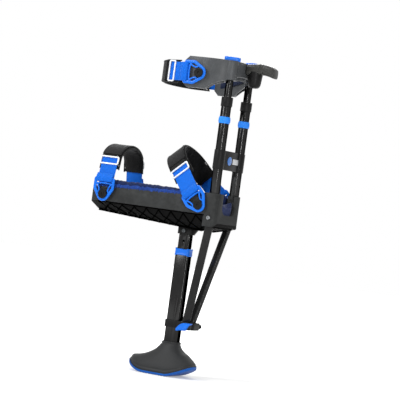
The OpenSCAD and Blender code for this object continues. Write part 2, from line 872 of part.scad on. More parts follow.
module far_lower_upright() {
    color("#2d2d2d") mirror([0, 1, 0]) lower_upright();
}

module upright_bushings() {
    color("#1c1c1c")
    both_sides() translate([upright_x, -upright_y, 0])
    difference() {
        union() {
            translate([0, 0, upright_top - bushing_h + bushing_up])
                cylinder(r = upright_r + bushing_wall, h = bushing_h);
        }
        translate([0, 0, upright_top - bushing_h])
            cylinder(r = upright_r + seat_gap, h = bushing_h + seat_gap);
        translate([0, 0, upright_top - over]) cylinder(r = upper_r + slide_gap, h = bushing_h);
    }
}

module lock_ring() {
    translate([upright_x, -upright_y, upright_top - ring_drop - ring_h])
    difference() {
        union() {
            cylinder(r = upright_r + ring_wall, h = ring_h);
            for (i = [0 : ring_ribs - 1])
                rotate([0, 0, 360 * i / ring_ribs])
                    translate([upright_r + ring_wall, 0, ring_h / 4])
                        cylinder(r = rib_r, h = ring_h / 2);
        }
        translate([0, 0, -over]) cylinder(r = upright_r + slide_gap, h = ring_h + 2 * over);
    }
}

module near_lock_ring() {
    color("#3f9cff") lock_ring();
}

module far_lock_ring() {
    color("#3f9cff") mirror([0, 1, 0]) lock_ring();
}

// Cross panel: an arc between two sleeves on the lower uprights
bow_r = (upright_y * upright_y + panel_bow * panel_bow) / (2 * panel_bow);
bow_x = upright_x + panel_bow - bow_r;

module cross_panel() {
    color("#242424")
    difference() {
        union() {
            intersection() {
                translate([bow_x, 0, panel_z]) difference() {
                    cylinder(r = bow_r + panel_t / 2, h = panel_h, $fn = 96);
                    translate([0, 0, -over])
                        cylinder(r = bow_r - panel_t / 2, h = panel_h + 2 * over, $fn = 96);
                }
                translate([upright_x - panel_bow, -upright_y, panel_z])
                    cube([3 * panel_bow, 2 * upright_y, panel_h]);
            }
            both_sides() translate([upright_x, -upright_y, panel_z])
                cylinder(r = upright_r + sleeve_wall, h = panel_h);
        }
        both_sides() translate([upright_x, -upright_y, panel_z - over])
            cylinder(r = upright_r + seat_gap, h = panel_h + 2 * over);
    }
}

badge_d = 22;
badge_inset = 5;
label_inset = 4;
label_w = upright_y - upright_r - sleeve_wall - label_inset;
label_h = 14;
plate_t = 1;

module panel_badge() {
    color("#2f86e8")
    intersection() {
        translate([bow_x, 0, panel_z]) difference() {
            cylinder(r = bow_r + panel_t / 2 + plate_t, h = panel_h, $fn = 96);
            translate([0, 0, -over])
                cylinder(r = bow_r + panel_t / 2 + seat_gap, h = panel_h + 2 * over, $fn = 96);
        }
        translate([bow_x, -badge_inset - badge_d / 2, panel_z + panel_h / 2]) rotate([0, 90, 0])
            cylinder(d = badge_d, h = 2 * bow_r);
    }
}

module panel_label() {
    color("#e4e6e8")
    intersection() {
        translate([bow_x, 0, panel_z]) difference() {
            cylinder(r = bow_r + panel_t / 2 + plate_t, h = panel_h, $fn = 96);
            translate([0, 0, -over])
                cylinder(r = bow_r + panel_t / 2 + seat_gap, h = panel_h + 2 * over, $fn = 96);
        }
        translate([bow_x, over, panel_z + panel_h / 2 - label_h / 2])
            cube([2 * bow_r, label_w, label_h]);
    }
}

// Thigh frame
function band_outline(inset) = [for (i = [0 : band_points - 1])
    egg(band_front - band_cx - inset, band_half - inset, band_power, 360 * i / band_points)];
function thigh_outline(grow) = [for (i = [0 : band_points - 1])
    egg(thigh_front - band_cx + grow, thigh_half + grow, thigh_power, 360 * i / band_points)];

band_front_h = 35;
band_mid_h = 50;
wing_corner = 12;

module band_side() {
    polygon([
        [-band_back, band_top - band_h + wing_corner], [-band_back + wing_corner, band_top - band_h],
        [thigh_post_x + post_base_r, band_top - band_h + over],
        [mix(thigh_post_x, upright_x, half_share), band_top - mix(band_h, band_mid_h, half_share)],
        [upright_x, band_top - band_mid_h], [band_front + over, band_top - band_front_h],
        [band_front + over, band_top], [-band_back + wing_corner, band_top],
        [-band_back, band_top - wing_corner]
    ]);
}

module thigh_band() {
    color("#5a5a5a")
    difference() {
        difference() {
            union() {
                intersection() {
                    translate([0, band_half + over, 0]) rotate([90, 0, 0])
                        linear_extrude(band_w + 2 * over) band_side();
                    translate([band_cx, 0, band_top - band_h - over])
                        linear_extrude(band_h + over) polygon(band_outline(0));
                }
                both_sides() translate([upright_x, -upright_y, band_top - band_rib_h])
                    cylinder(r = band_rib_r, h = band_rib_h);
            }
            translate([band_cx, 0, band_top - band_h - 2 * over])
                linear_extrude(band_h + 3 * over) polygon(thigh_outline(0));
        }
        difference() {
            translate([band_cx, 0, band_top - band_h - band_skin])
                linear_extrude(band_h) difference() {
                    polygon(band_outline(band_skin));
                    polygon(thigh_outline(band_skin));
                    translate([-band_half - band_back, -band_w])
                        square([band_half + band_back - band_cx + mix(0, upright_x, half_share), 2 * band_w]);
                }
            both_sides() translate([upright_x, -upright_y, band_top - band_h - band_skin])
                cylinder(r = socket_r, h = band_h + 2 * band_skin);
            translate([band_cx, -band_skin / 2, band_top - band_h - band_skin])
                cube([band_half + band_front, band_skin, band_h + 2 * band_skin]);
        }
        both_sides() {
            translate([upright_x, -upright_y, band_top - band_h - over])
                cylinder(r = upper_r + seat_gap, h = band_h + 2 * over);
            translate([thigh_post_x, 0, thigh_post_z])
                rod_y(pin_d / 2 + seat_gap, -band_w, -over);
        }
        translate([0, 0, band_top - band_front_h / 2]) rotate([0, 90, 0])
            both_sides() translate([0, -handle_w / 4, 0])
                cylinder(r = pin_d / 2 + seat_gap, h = band_front + over);
    }
}

liner_steps = 24;
liner_angle = 88;
liner_edge = 5;
liner_inset = 4;

function liner_point(deg, depth) =
    egg(thigh_front - band_cx - soft_gap - depth, thigh_half - soft_gap - depth, thigh_power, deg);
function liner_ring(deg, swell) =
    let (
        back = liner_point(deg, 0),
        face = liner_point(deg, liner_t * swell),
        low = band_top - mix(band_front_h, band_h - wing_corner, abs(deg) / liner_angle) + liner_inset,
        high = band_top - liner_inset,
        mid = mix(low, high, half_share)
    )
    [
        [back[0] + band_cx, back[1], low], [back[0] + band_cx, back[1], mid],
        [back[0] + band_cx, back[1], high],
        [face[0] + band_cx, face[1], high - liner_edge], [face[0] + band_cx, face[1], mid],
        [face[0] + band_cx, face[1], low + liner_edge]
    ];

module thigh_liner() {
    color("#1d2740")
    loft([for (k = [0 : liner_steps])
        liner_ring(mix(-liner_angle, liner_angle, k / liner_steps),
            k == 0 || k == liner_steps ? half_share : 1)]);
}

module upper_tube() {
    translate([upright_x, -upright_y, 0])
    difference() {
        translate([0, 0, upright_top - upper_hidden])
            cylinder(r = upper_r, h = band_rise + upper_hidden - seat_gap);
        translate([0, 0, upright_top - upper_hidden - over])
            cylinder(r = upper_r - upright_wall, h = band_rise + upper_hidden + 2 * over);
    }
}

module near_upper_tube() {
    color("#333333") upper_tube();
}

module far_upper_tube() {
    color("#333333") mirror([0, 1, 0]) upper_tube();
}

module tube_feet() {
    color("#1c1c1c")
    both_sides() translate([upright_x, -upright_y, upright_top - upper_hidden - plug_h]) {
        cylinder(r = upright_r - upright_wall - slide_gap, h = plug_h - seat_gap);
        cylinder(r = upper_r - upright_wall - seat_gap, h = 2 * plug_h);
    }
}

module upright_caps() {
    color("#1e82ff")
    both_sides() translate([upright_x, -upright_y, band_top]) {
        rotate([0, 0, -strut_roll]) rotate([0, 0, 90]) linear_extrude(cap_h) stadium(cap_l, cap_w);
        translate([0, 0, -plug_h]) cylinder(r = upper_r - upright_wall - seat_gap, h = plug_h + cap_h / 2);
    }
}

handle_points = 20;
handle_power = 4;
boss_r = handle_w / 2;
boss_drop = 60;
boss_share = 0.8;
reach_shares = [0, 0.12, 0.3, 0.4, 0.5, 0.6, 0.7, 0.8, 0.88, 0.95, 0.99, 1];
wide_shares = [1, 1, 0.95, 0.9, 0.87, 0.85, 0.84, 0.83, 0.82, 0.8, 0.74, 0.64];
top_shares = [0.02, 0.03, 0.08, 0.1, 0.1, 0.09, 0.06, 0.01, -0.05, -0.13, -0.2, -0.27];
under_shares = [0.83, 0.81, 0.73, 0.7, 0.7, 0.72, 0.75, 0.8, 0.85, 0.9, 0.9, 0.86];

function handle_ring(k) =
    let (
        w = handle_w / 2 * wide_shares[k],
        h = handle_h / 2 * (top_shares[k] + under_shares[k]),
        x = band_front + soft_gap + handle_l * reach_shares[k],
        z = band_top + handle_h / 2 * (top_shares[k] - under_shares[k])
    )
    [for (i = [0 : handle_points - 1])
        let (p = egg(w, h, handle_power, 360 * (i + half_share) / handle_points))
        [x, p[0], z + p[1]]];

module handle() {
    color("#333333")
    difference() {
        union() {
            loft([for (k = [0 : len(reach_shares) - 1]) handle_ring(k)]);
            translate([band_front + soft_gap + boss_r, 0, band_top - boss_drop])
                cylinder(r1 = boss_r * boss_share, r2 = boss_r, h = boss_drop - handle_h / 2);
        }
        translate([0, 0, band_top - band_front_h / 2]) rotate([0, 90, 0])
            both_sides() translate([0, -handle_w / 4, 0])
                cylinder(r = pin_d / 2 + seat_gap, h = band_front + handle_l / 4);
    }
}

module handle_screws() {
    color("#b8bcc0")
    translate([0, 0, band_top - band_front_h / 2]) rotate([0, 90, 0])
        both_sides() translate([0, -handle_w / 4, band_front - 2 * band_skin])
            cylinder(d = pin_d, h = 2 * band_skin + handle_l / 4 - over);
}

// Strap posts: a base on the wall, a stem through the clip and a head in front of it
module post(y) {
    rod_y(post_base_r, y - post_base_h, y);
    rod_y(post_r, y - post_base_h - clip_t - 2 * soft_gap, y);
    rod_y(post_head_r, y - post_base_h - clip_t - 2 * soft_gap - post_head_h,
        y - post_base_h - clip_t - 2 * soft_gap);
}

module calf_posts() {
    color("#1f1f1f") both_sides() translate([-calf_back, 0, calf_post_z]) post(-half_w);
}

module knee_posts() {
    color("#1f1f1f") both_sides() translate([knee_ahead, 0, knee_post_z]) post(-half_w);
}

module thigh_posts() {
    color("#1f1f1f") both_sides() translate([thigh_post_x, 0, thigh_post_z]) {
        post(-band_half);
        rod_y(pin_d / 2, -band_half, -band_half + band_skin);
    }
}

// Straps, drawn standing up from the line of their posts
// y is the wall's distance from the middle plane, high the top of the arch, waist the half width there
module clip(y) {
    translate([0, -y - post_base_h - soft_gap, 0]) rotate([90, 0, 0]) linear_extrude(clip_t)
    difference() {
        union() {
            circle(clip_bottom_r);
            polygon([
                [-clip_bottom_r, -over], [clip_bottom_r, -over], [clip_w / 2, clip_shoulder],
                [clip_w / 2, clip_top - clip_corner], [clip_w / 2 - clip_corner, clip_top],
                [-clip_w / 2 + clip_corner, clip_top], [-clip_w / 2, clip_top - clip_corner],
                [-clip_w / 2, clip_shoulder]
            ]);
        }
        circle(ring_in_r);
        polygon([
            [-ring_in_r * edge_share, ring_in_r * edge_share],
            [ring_in_r * edge_share, ring_in_r * edge_share],
            [clip_w / 4, window_low - slider_bar], [-clip_w / 4, window_low - slider_bar]
        ]);
        translate([-window_w / 2, window_low]) square([window_w, window_high - window_low]);
    }
}

function web_y(y) = y + post_base_h + soft_gap - slide_gap - web_t / 2;
function web_lean(y, turn, waist, top) = atan2(web_y(y) - waist, top - turn);

// Line of the webbing in the plane across the object: slider, turn at the edge, fold and flap
function web_line(y, turn, waist, top) =
    let (
        lean = web_lean(y, turn, waist, top),
        y_in = -web_y(y),
        y_out = y_in - clip_t - 2 * slide_gap - web_t,
        z_fold = window_low + over + web_t / 2
    )
    [
        [-waist + slider_bar / 2 * sin(lean), top + slider_bar / 2 * cos(lean)],
        [y_in, turn], [y_in, z_fold], [y_out, z_fold], [y_out, window_low + over + flap_l]
    ];

// Points beside a line, with mitred corners
function line_way(path, k) =
    let (way = path[min(len(path) - 1, k + 1)] - path[k])
    k == len(path) - 1 ? line_way(path, k - 1) : way / norm(way);
function line_side(path, d) = [
    for (k = [0 : len(path) - 1])
        let (
            a = line_way(path, max(0, k - 1)),
            b = line_way(path, k)
        )
        path[k] + [-a[1] - b[1], a[0] + b[0]] * d / (1 + a * b)
];
function turned_round(list) = [for (k = [len(list) - 1 : -1 : 0]) list[k]];

module web_strip(y, turn, waist, top) {
    path = web_line(y, turn, waist, top);
    rotate([90, 0, 90]) linear_extrude(web_w, center = true)
        polygon(concat(line_side(path, web_t / 2), turned_round(line_side(path, -web_t / 2))));
}

module slider(y, turn, waist, top) {
    translate([0, -web_y(y), turn]) rotate([-web_lean(y, turn, waist, top), 0, 0])
    translate([0, -web_t / 2 - slide_gap, norm([web_y(y) - waist, top - turn])])
    rotate([90, 0, 0]) linear_extrude(slider_t) difference() {
        square([slider_w, slider_h], center = true);
        square([slider_w - 2 * slider_bar, slider_h - 2 * slider_bar], center = true);
    }
}

function pad_path(y, turn, waist, top, high) =
    let (
        lean = web_lean(y, turn, waist, top),
        drop = web_t / 2 + soft_gap + pad_t / 2,
        foot = [
            -waist - slider_h * sin(lean) + drop * cos(lean),
            top - slider_h * cos(lean) - drop * sin(lean)
        ],
        start = [-waist + drop * cos(lean), top - drop * sin(lean)],
        rise = high - pad_t / 2 - start[1]
    )
    concat(
        [foot],
        [for (k = [0 : arch_steps])
            let (deg = mix(-90, 90, k / arch_steps))
            [start[0] * -sin(deg), start[1] + rise * cos(deg)]],
        [[-foot[0], foot[1]]]
    );
across_shares = [-1, -0.8, 0, 0.8, 1];
thick_shares = [0.3, 0.8, 1, 0.8, 0.3];
function pad_section(p, n, swell) =
    let (last = len(across_shares) - 1)
    concat(
        [for (i = [0 : last])
            let (q = p + n * thick_shares[i] * swell * pad_t / 2)
            [across_shares[i] * pad_w / 2, q[0], q[1]]],
        [for (i = [last : -1 : 0])
            let (q = p - n * thick_shares[i] * swell * pad_t / 2)
            [across_shares[i] * pad_w / 2, q[0], q[1]]]
    );

module strap_pad(y, turn, waist, top, high) {
    path = pad_path(y, turn, waist, top, high);
    last = len(path) - 1;
    loft([for (k = [0 : last])
        let (
            run = path[min(last, k + 1)] - path[max(0, k - 1)],
            n = [-run[1], run[0]] / norm(run)
        )
        pad_section(path[k], n, k == 0 || k == last ? half_share : 1)]);
}

calf_draw = 8;
calf_turn = 38;
calf_waist = half_w - calf_draw;
calf_arch = 44;
calf_top = calf_high - calf_arch;
knee_draw = 12;
knee_turn = 58;
knee_waist = half_w - knee_draw;
knee_arch = 66;
knee_top = knee_high - knee_arch;
thigh_draw = 9;
thigh_turn = 50;
thigh_waist = band_half - thigh_draw;
thigh_arch = 56;
thigh_top = thigh_reach - thigh_arch;

module at_calf() {
    translate([-calf_back, 0, calf_post_z]) children();
}

module at_knee() {
    translate([knee_ahead, 0, knee_post_z]) rotate([0, -knee_lean, 0]) children();
}

module at_thigh() {
    translate([thigh_post_x, 0, thigh_post_z]) rotate([0, -90, 0]) children();
}

module calf_near_clip() {
    color("#1e82ff") at_calf() clip(half_w);
}

module calf_far_clip() {
    color("#1e82ff") at_calf() mirror([0, 1, 0]) clip(half_w);
}

module calf_webbing() {
    color("#1a6fe0") at_calf() both_sides() web_strip(half_w, calf_turn, calf_waist, calf_top);
}

module calf_sliders() {
    color("#d8dadc") at_calf() both_sides() slider(half_w, calf_turn, calf_waist, calf_top);
}

module calf_pad() {
    color("#161616") at_calf() strap_pad(half_w, calf_turn, calf_waist, calf_top, calf_high);
}

module knee_near_clip() {
    color("#1e82ff") at_knee() clip(half_w);
}

module knee_far_clip() {
    color("#1e82ff") at_knee() mirror([0, 1, 0]) clip(half_w);
}

module knee_webbing() {
    color("#1a6fe0") at_knee() both_sides() web_strip(half_w, knee_turn, knee_waist, knee_top);
}

module knee_sliders() {
    color("#d8dadc") at_knee() both_sides() slider(half_w, knee_turn, knee_waist, knee_top);
}

module knee_strap_pad() {
    color("#161616") at_knee() strap_pad(half_w, knee_turn, knee_waist, knee_top, knee_high);
}

module thigh_near_clip() {
    color("#1e82ff") at_thigh() clip(band_half);
}

module thigh_far_clip() {
    color("#1e82ff") at_thigh() mirror([0, 1, 0]) clip(band_half);
}

module thigh_webbing() {
    color("#1a6fe0") at_thigh() both_sides() web_strip(band_half, thigh_turn, thigh_waist, thigh_top);
}

module thigh_sliders() {
    color("#d8dadc") at_thigh() both_sides() slider(band_half, thigh_turn, thigh_waist, thigh_top);
}

module thigh_strap_pad() {
    color("#161616") at_thigh() strap_pad(band_half, thigh_turn, thigh_waist, thigh_top, thigh_reach);
}

foot_sole();
foot_boot();
foot_bolt();
leg_tube();
leg_collar();
inner_tube();
inner_plug();
near_strut();
far_strut();
strut_bolt();
strut_clamp();
clamp_skewer();
cam_yoke();
cam_pin();
cam_lever();
platform_shell();
leg_bracket();
bracket_bolt();
side_screws();
knee_pad();
front_pad();
near_lower_upright();
far_lower_upright();
upright_bushings();
near_lock_ring();
far_lock_ring();
cross_panel();
panel_badge();
panel_label();
thigh_band();
thigh_liner();
near_upper_tube();
far_upper_tube();
tube_feet();
upright_caps();
handle();
handle_screws();
calf_posts();
knee_posts();
thigh_posts();
calf_near_clip();
calf_far_clip();
calf_webbing();
calf_sliders();
calf_pad();
knee_near_clip();
knee_far_clip();
knee_webbing();
knee_sliders();
knee_strap_pad();
thigh_near_clip();
thigh_far_clip();
thigh_webbing();
thigh_sliders();
thigh_strap_pad();
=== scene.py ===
import json
from math import acos, atan2, copysign, cos, exp, pi, radians, sin, tan

import bmesh
import bpy
from mathutils import Matrix, Vector, noise
from mathutils.bvhtree import BVHTree

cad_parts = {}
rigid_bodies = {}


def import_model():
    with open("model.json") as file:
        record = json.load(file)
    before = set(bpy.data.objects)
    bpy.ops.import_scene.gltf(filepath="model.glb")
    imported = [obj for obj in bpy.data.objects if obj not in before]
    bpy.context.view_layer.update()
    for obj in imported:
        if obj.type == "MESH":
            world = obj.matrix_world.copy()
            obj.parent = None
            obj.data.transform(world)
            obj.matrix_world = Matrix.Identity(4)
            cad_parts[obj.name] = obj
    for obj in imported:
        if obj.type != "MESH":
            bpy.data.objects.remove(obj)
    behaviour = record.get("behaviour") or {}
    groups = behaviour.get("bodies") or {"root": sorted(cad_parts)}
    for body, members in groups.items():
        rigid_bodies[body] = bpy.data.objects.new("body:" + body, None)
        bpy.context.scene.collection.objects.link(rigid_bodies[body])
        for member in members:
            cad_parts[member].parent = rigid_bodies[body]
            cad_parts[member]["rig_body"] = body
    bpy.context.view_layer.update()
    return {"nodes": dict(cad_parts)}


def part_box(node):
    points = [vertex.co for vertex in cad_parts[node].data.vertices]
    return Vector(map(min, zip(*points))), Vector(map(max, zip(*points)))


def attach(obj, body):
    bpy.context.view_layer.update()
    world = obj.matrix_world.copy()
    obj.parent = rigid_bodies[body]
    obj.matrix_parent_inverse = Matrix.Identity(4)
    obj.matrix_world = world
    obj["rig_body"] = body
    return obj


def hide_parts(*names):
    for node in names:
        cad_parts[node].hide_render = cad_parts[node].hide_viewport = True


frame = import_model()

mm = 0.001
scene = bpy.context.scene
scene.view_settings.view_transform = "Standard"


# small tools for finishes

white = (1, 1, 1, 1)
noiseSpan = (0.3, 0.7)
fullSpan = (0.0, 1.0)


def tint(code):
    parts = [int(code[i:i + 2], 16) / 255 for i in (1, 3, 5)]
    return [p / 12.92 if p <= 0.04045 else ((p + 0.055) / 1.055) ** 2.4 for p in parts] + [1.0]


def shade(colour, factor):
    return [min(1.0, c * factor) for c in colour[:3]] + [1.0]


def startFinish(name):
    finish = bpy.data.materials.new(name)
    finish.use_nodes = True
    tree = finish.node_tree
    tree.nodes.clear()
    output = tree.nodes.new("ShaderNodeOutputMaterial")
    shader = tree.nodes.new("ShaderNodeBsdfPrincipled")
    tree.links.new(shader.outputs["BSDF"], output.inputs["Surface"])
    return finish, tree, shader


def wire(tree, socket, value):
    if isinstance(value, bpy.types.NodeSocket):
        tree.links.new(value, socket)
    else:
        socket.default_value = value


def wireAll(tree, node, inputs):
    for key, value in inputs.items():
        wire(tree, node.inputs[key], value)


def place(tree, kind, output, inputs, **settings):
    node = tree.nodes.new("ShaderNode" + kind)
    for key, value in settings.items():
        setattr(node, key, value)
    wireAll(tree, node, inputs)
    return node.outputs[output]


def speckle(tree, where, scale, detail=3.0, roughness=0.55):
    return place(tree, "TexNoise", "Fac", {
        "Vector": where, "Scale": scale, "Detail": detail, "Roughness": roughness})


def spread(tree, value, span, toSpan=fullSpan):
    return place(tree, "MapRange", "Result", {
        "Value": value, "From Min": span[0], "From Max": span[1], "To Min": toSpan[0], "To Max": toSpan[1]})


def figure(tree, operation, first, second):
    return place(tree, "Math", "Value", {0: first, 1: second}, operation=operation)


# a mix node has its colours at inputs 6 and 7 and output 2
def mixTint(tree, amount, first, second):
    node = tree.nodes.new("ShaderNodeMix")
    node.data_type = "RGBA"
    wireAll(tree, node, {0: amount, 6: first, 7: second})
    return node.outputs[2]


def objectSpace(tree, stretch=(1, 1, 1), turn=(0, 0, 0)):
    where = place(tree, "TexCoord", "Object", {})
    return place(tree, "Mapping", "Vector", {"Vector": where, "Scale": stretch, "Rotation": turn})


# rays to which the background looks white
def seenRays(tree):
    path = tree.nodes.new("ShaderNodeLightPath").outputs
    return figure(tree, "MAXIMUM", path["Is Camera Ray"],
                  figure(tree, "MAXIMUM", path["Is Glossy Ray"], path["Is Transmission Ray"]))


# the colour, roughness and relief of a finish, and its plain sockets
def dress(tree, shader, colour, mixed, roughness, relief, plain):
    normal = place(tree, "Bump", "Normal", dict(zip(("Height", "Strength", "Distance"), relief)))
    shader.inputs["Base Color"].default_value = colour
    wireAll(tree, shader, {"Base Color": mixed, "Roughness": roughness, "Normal": normal, **plain})


def wornEdges(tree, where, flat=0.515, keen=0.05, scale=60.0, detail=4.0, patches=(0.42, 0.66)):
    point = place(tree, "NewGeometry", "Pointiness", {})
    patch = spread(tree, speckle(tree, where, scale, detail), patches)
    return figure(tree, "MULTIPLY", spread(tree, point, (flat, flat + keen)), patch)


# moulded plastics, coated tubes and rubber share one recipe
def mouldedFinish(
        name, colour, rough, grain, depth=0.2, relief=0.0004, stretch=(1, 1, 1), mottle=(16.0, 4.0),
        dark=0.88, light=1.12, wear=0.35, wearLift=2.2, vary=0.14, grainDetail=2.0, metal=0.0, edge=white,
        specular=0.45, coat=0.0, coatRough=0.25):
    finish, tree, shader = startFinish(name)
    colour = tint(colour)
    where = objectSpace(tree, stretch)
    broad = speckle(tree, objectSpace(tree), *mottle)
    body = mixTint(tree, spread(tree, broad, noiseSpan), shade(colour, dark), shade(colour, light))
    worn = figure(tree, "MULTIPLY", wornEdges(tree, where), wear)
    fine = speckle(tree, where, grain, grainDetail)
    change = vary * rough
    roughness = figure(tree, "ADD", spread(tree, broad, noiseSpan, (-change, change)),
                       spread(tree, fine, noiseSpan, (rough - change, rough + change)))
    dress(tree, shader, colour, mixTint(tree, worn, body, shade(colour, wearLift)), roughness,
          (fine, depth, relief), {
              "Metallic": metal, "Specular Tint": edge, "Specular IOR Level": specular, "Coat Weight": coat,
              "Coat Roughness": coatRough})
    return finish


def metalFinish(
        name, colour, rough, grain=1400.0, metal=1.0, grainDetail=3.0, mottle=(90.0, 3.0),
        mottleSpan=(0.35, 0.7), fade=0.5, fadeTint=0.72, smoother=0.07, rougher=0.09, depth=0.12,
        relief=0.0002):
    finish, tree, shader = startFinish(name)
    colour = tint(colour)
    lines = speckle(tree, objectSpace(tree), grain, grainDetail)
    faded = spread(tree, speckle(tree, objectSpace(tree), *mottle), mottleSpan, (0.0, fade))
    dress(tree, shader, colour, mixTint(tree, faded, colour, shade(colour, fadeTint)),
          spread(tree, lines, noiseSpan, (rough - smoother, rough + rougher)), (lines, depth, relief),
          {"Metallic": metal})
    return finish


# a wave texture of this scale repeats once in a millimetre
wavePerPitch = 0.314 / mm


def waves(tree, where, pitch, way, bend, detail=1.0, detailScale=2.0):
    return place(tree, "TexWave", "Fac", {
        "Vector": where, "Scale": wavePerPitch / pitch, "Distortion": bend, "Detail": detail,
        "Detail Scale": detailScale}, bands_direction=way)


# webbing reads the weave attribute: x across the strap, y along it, in metres
def wovenThreads(tree, pick, end, pickShare=0.6, endShare=0.4):
    where = place(tree, "Attribute", "Vector", {}, attribute_name="weave")
    picks = figure(tree, "MULTIPLY", waves(tree, where, pick, "Y", bend=0.6), pickShare)
    ends = figure(tree, "MULTIPLY", waves(tree, where, end, "X", bend=0.4), endShare)
    return figure(tree, "ADD", picks, ends)


# knitted pad covers read Object coordinates, so the simulated meshes need no map
def knitThreads(tree, pitch, ways=(("X", (0, 0, 0)), ("DIAGONAL", (0.35, 0.2, 0.1)))):
    rows = [waves(tree, objectSpace(tree, turn=turn), pitch, way, bend=1.2, detail=2.0, detailScale=1.5)
            for way, turn in ways]
    return figure(tree, "MULTIPLY", *rows)


def clothFinish(
        name, threads, colour, rough, vary, depth, relief, fuzz, fuzzLift, threadSpan, valleyShade, crestHighlight, mottle,
        mottleSpan, fade, fadeTint, sheen, sheenRough, specular, **pitches):
    finish, tree, shader = startFinish(name)
    colour = tint(colour)
    cloth = threads(tree, **pitches)
    fine = speckle(tree, objectSpace(tree), *fuzz)
    # painted shade and highlight: the threads' valleys are darker and their crests lighter, following their
    # relief
    body = mixTint(tree, spread(tree, cloth, threadSpan), shade(colour, valleyShade), shade(colour, crestHighlight))
    faded = spread(tree, speckle(tree, objectSpace(tree), *mottle), mottleSpan, (0.0, fade))
    height = figure(tree, "ADD", cloth, figure(tree, "MULTIPLY", fine, fuzzLift))
    dress(tree, shader, colour, mixTint(tree, faded, body, shade(colour, fadeTint)),
          spread(tree, fine, noiseSpan, (rough - vary, rough + vary)), (height, depth, relief),
          {"Sheen Weight": sheen, "Sheen Roughness": sheenRough, "Specular IOR Level": specular})
    return finish


tube = dict(grain=1300.0, depth=0.012, stretch=(1, 1, 0.25), wear=0.4, wearLift=2.0)
blue = dict(grain=700.0, depth=0.1, wear=0.4)
mouldedLooks = dict(
    legBlack=dict(tube, colour="#2a2a2a", rough=0.15, metal=1.0, edge=(0, 0, 0, 1)),
    strutBlack=dict(tube, colour="#242424", rough=0.2, metal=0.45, edge=(0.25, 0.25, 0.25, 1)),
    mouldedBlack=dict(colour="#131313", rough=0.4, grain=900.0, depth=0.25, specular=0.12),
    # painted shade for the platform's down-facing faces and painted shadow lines for its ribs, both
    # near-black with little or no gloss
    trayBlack=dict(colour="#121212", rough=0.7, grain=700.0, depth=0.3, specular=0.03),
    latticeBlack=dict(colour="#040404", rough=0.7, grain=700.0, wear=0.0, specular=0.0),
    shellGrey=dict(colour="#343535", rough=0.44, grain=820.0, depth=0.3, specular=0.03),
    bandGrey=dict(colour="#484a4c", rough=0.38, grain=950.0, wearLift=1.5, specular=0.2),
    handleGrey=dict(colour="#323230", rough=0.32, grain=900.0, wearLift=1.8, specular=0.22),
    brightBlue=dict(blue, colour="#0f6bdb", rough=0.3, wearLift=1.5, specular=0.22),
    ringBlue=dict(blue, colour="#2288fa", rough=0.34, wearLift=1.4, specular=0.3),
    soleBlue=dict(colour="#1658ac", rough=0.5, grain=620.0, depth=0.35, wearLift=1.4, specular=0.2),
    bootRubber=dict(colour="#2d2e2f", rough=0.5, grain=480.0, depth=0.45, wearLift=1.6, specular=0.16),
    badgeBlue=dict(colour="#2a72c8", rough=0.22, grain=300.0, depth=0.04, coat=0.4),
    labelWhite=dict(
        colour="#d6d8da", rough=0.3, grain=260.0, depth=0.03, wear=0.1, wearLift=0.8, coat=0.2))
metalLooks = dict(
    steel=dict(colour="#85888b", rough=0.36),
    dullSteel=dict(colour="#55585a", rough=0.42),
    darkSteel=dict(colour="#2c2d2f", rough=0.4),
    sliderSilver=dict(colour="#eef1f5", rough=0.3, grain=1200.0, metal=0.0))
# valleyShade and crestHighlight scale the cloth colour as painted shade in the thread valleys and painted
# highlight on the crests
woven = dict(
    threads=wovenThreads, vary=0.08, depth=0.5, relief=0.0006, fuzz=(1500.0, 2.0), fuzzLift=0.3,
    threadSpan=(0.2, 0.8), valleyShade=0.62, crestHighlight=1.1, mottle=(40.0, 3.0), mottleSpan=(0.35, 0.7), fade=0.3,
    fadeTint=0.75, sheen=0.08, sheenRough=0.5, specular=0.12)
thread = dict(woven, rough=0.6, pick=0.8, end=0.8, depth=0.3)
knit = dict(
    threads=knitThreads, vary=0.07, depth=0.45, relief=0.0007, fuzz=(1100.0, 3.0), fuzzLift=0.5,
    threadSpan=(0.05, 0.6), valleyShade=0.6, crestHighlight=1.25, mottle=(26.0, 4.0), mottleSpan=(0.35, 0.68), fade=0.5,
    fadeTint=0.55, sheen=0.1, sheenRough=0.45, specular=0.15)
clothLooks = dict(
    padNavy=dict(knit, colour="#1b2a58", rough=0.8, pitch=1.8),
    # a lighter copy of padNavy: painted highlight on the ruffle's folds
    trimBlue=dict(knit, colour="#23489c", rough=0.7, pitch=1.2),
    linerNavy=dict(knit, colour="#1b2540", rough=0.8, pitch=1.6),
    strapKnit=dict(knit, colour="#131314", rough=0.8, pitch=2.4, depth=0.7),
    strapEdge=dict(knit, colour="#1a1a1b", rough=0.7, pitch=1.2, depth=0.4),
    webbingBlue=dict(woven, colour="#0e6ce0", rough=0.5, pick=1.3, end=2.1, depth=0.4, sheen=0.03),
    strapWeave=dict(
        woven, colour="#171718", rough=0.62, pick=2.2, end=3.0, depth=0.7, valleyShade=0.5, crestHighlight=1.6),
    threadBlue=dict(thread, colour="#3f97ff"),
    threadGrey=dict(thread, colour="#343536"))
recipes = ((mouldedFinish, mouldedLooks), (metalFinish, metalLooks), (clothFinish, clothLooks))
finishes = {name: recipe(name, **look) for recipe, looks in recipes for name, look in looks.items()}
print("finishes ready:", len(finishes))


def bodyOf(node):
    return frame["nodes"][node]["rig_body"]


def meshOf(bm, name):
    mesh = bpy.data.meshes.new(name)
    bm.to_mesh(mesh)
    bm.free()
    return mesh


def addObject(name, data):
    made = bpy.data.objects.new(name, data)
    scene.collection.objects.link(made)
    return made


# a finish has the slot of its own name, apart from those that share one
slots = dict(
    strutBlack="leg_black", trayBlack="moulded_black", latticeBlack="moulded_black", ringBlue="bright_blue",
    handleGrey="moulded_black", dullSteel="steel", darkSteel="steel", trimBlue="pad_navy",
    linerNavy="pad_navy", strapKnit="strap_black", strapEdge="strap_black", strapWeave="strap_black",
    threadGrey="strap_black", threadBlue="webbing_blue")


def slotOf(finish):
    return slots.get(finish) or "".join("_" + c.lower() if c.isupper() else c for c in finish)


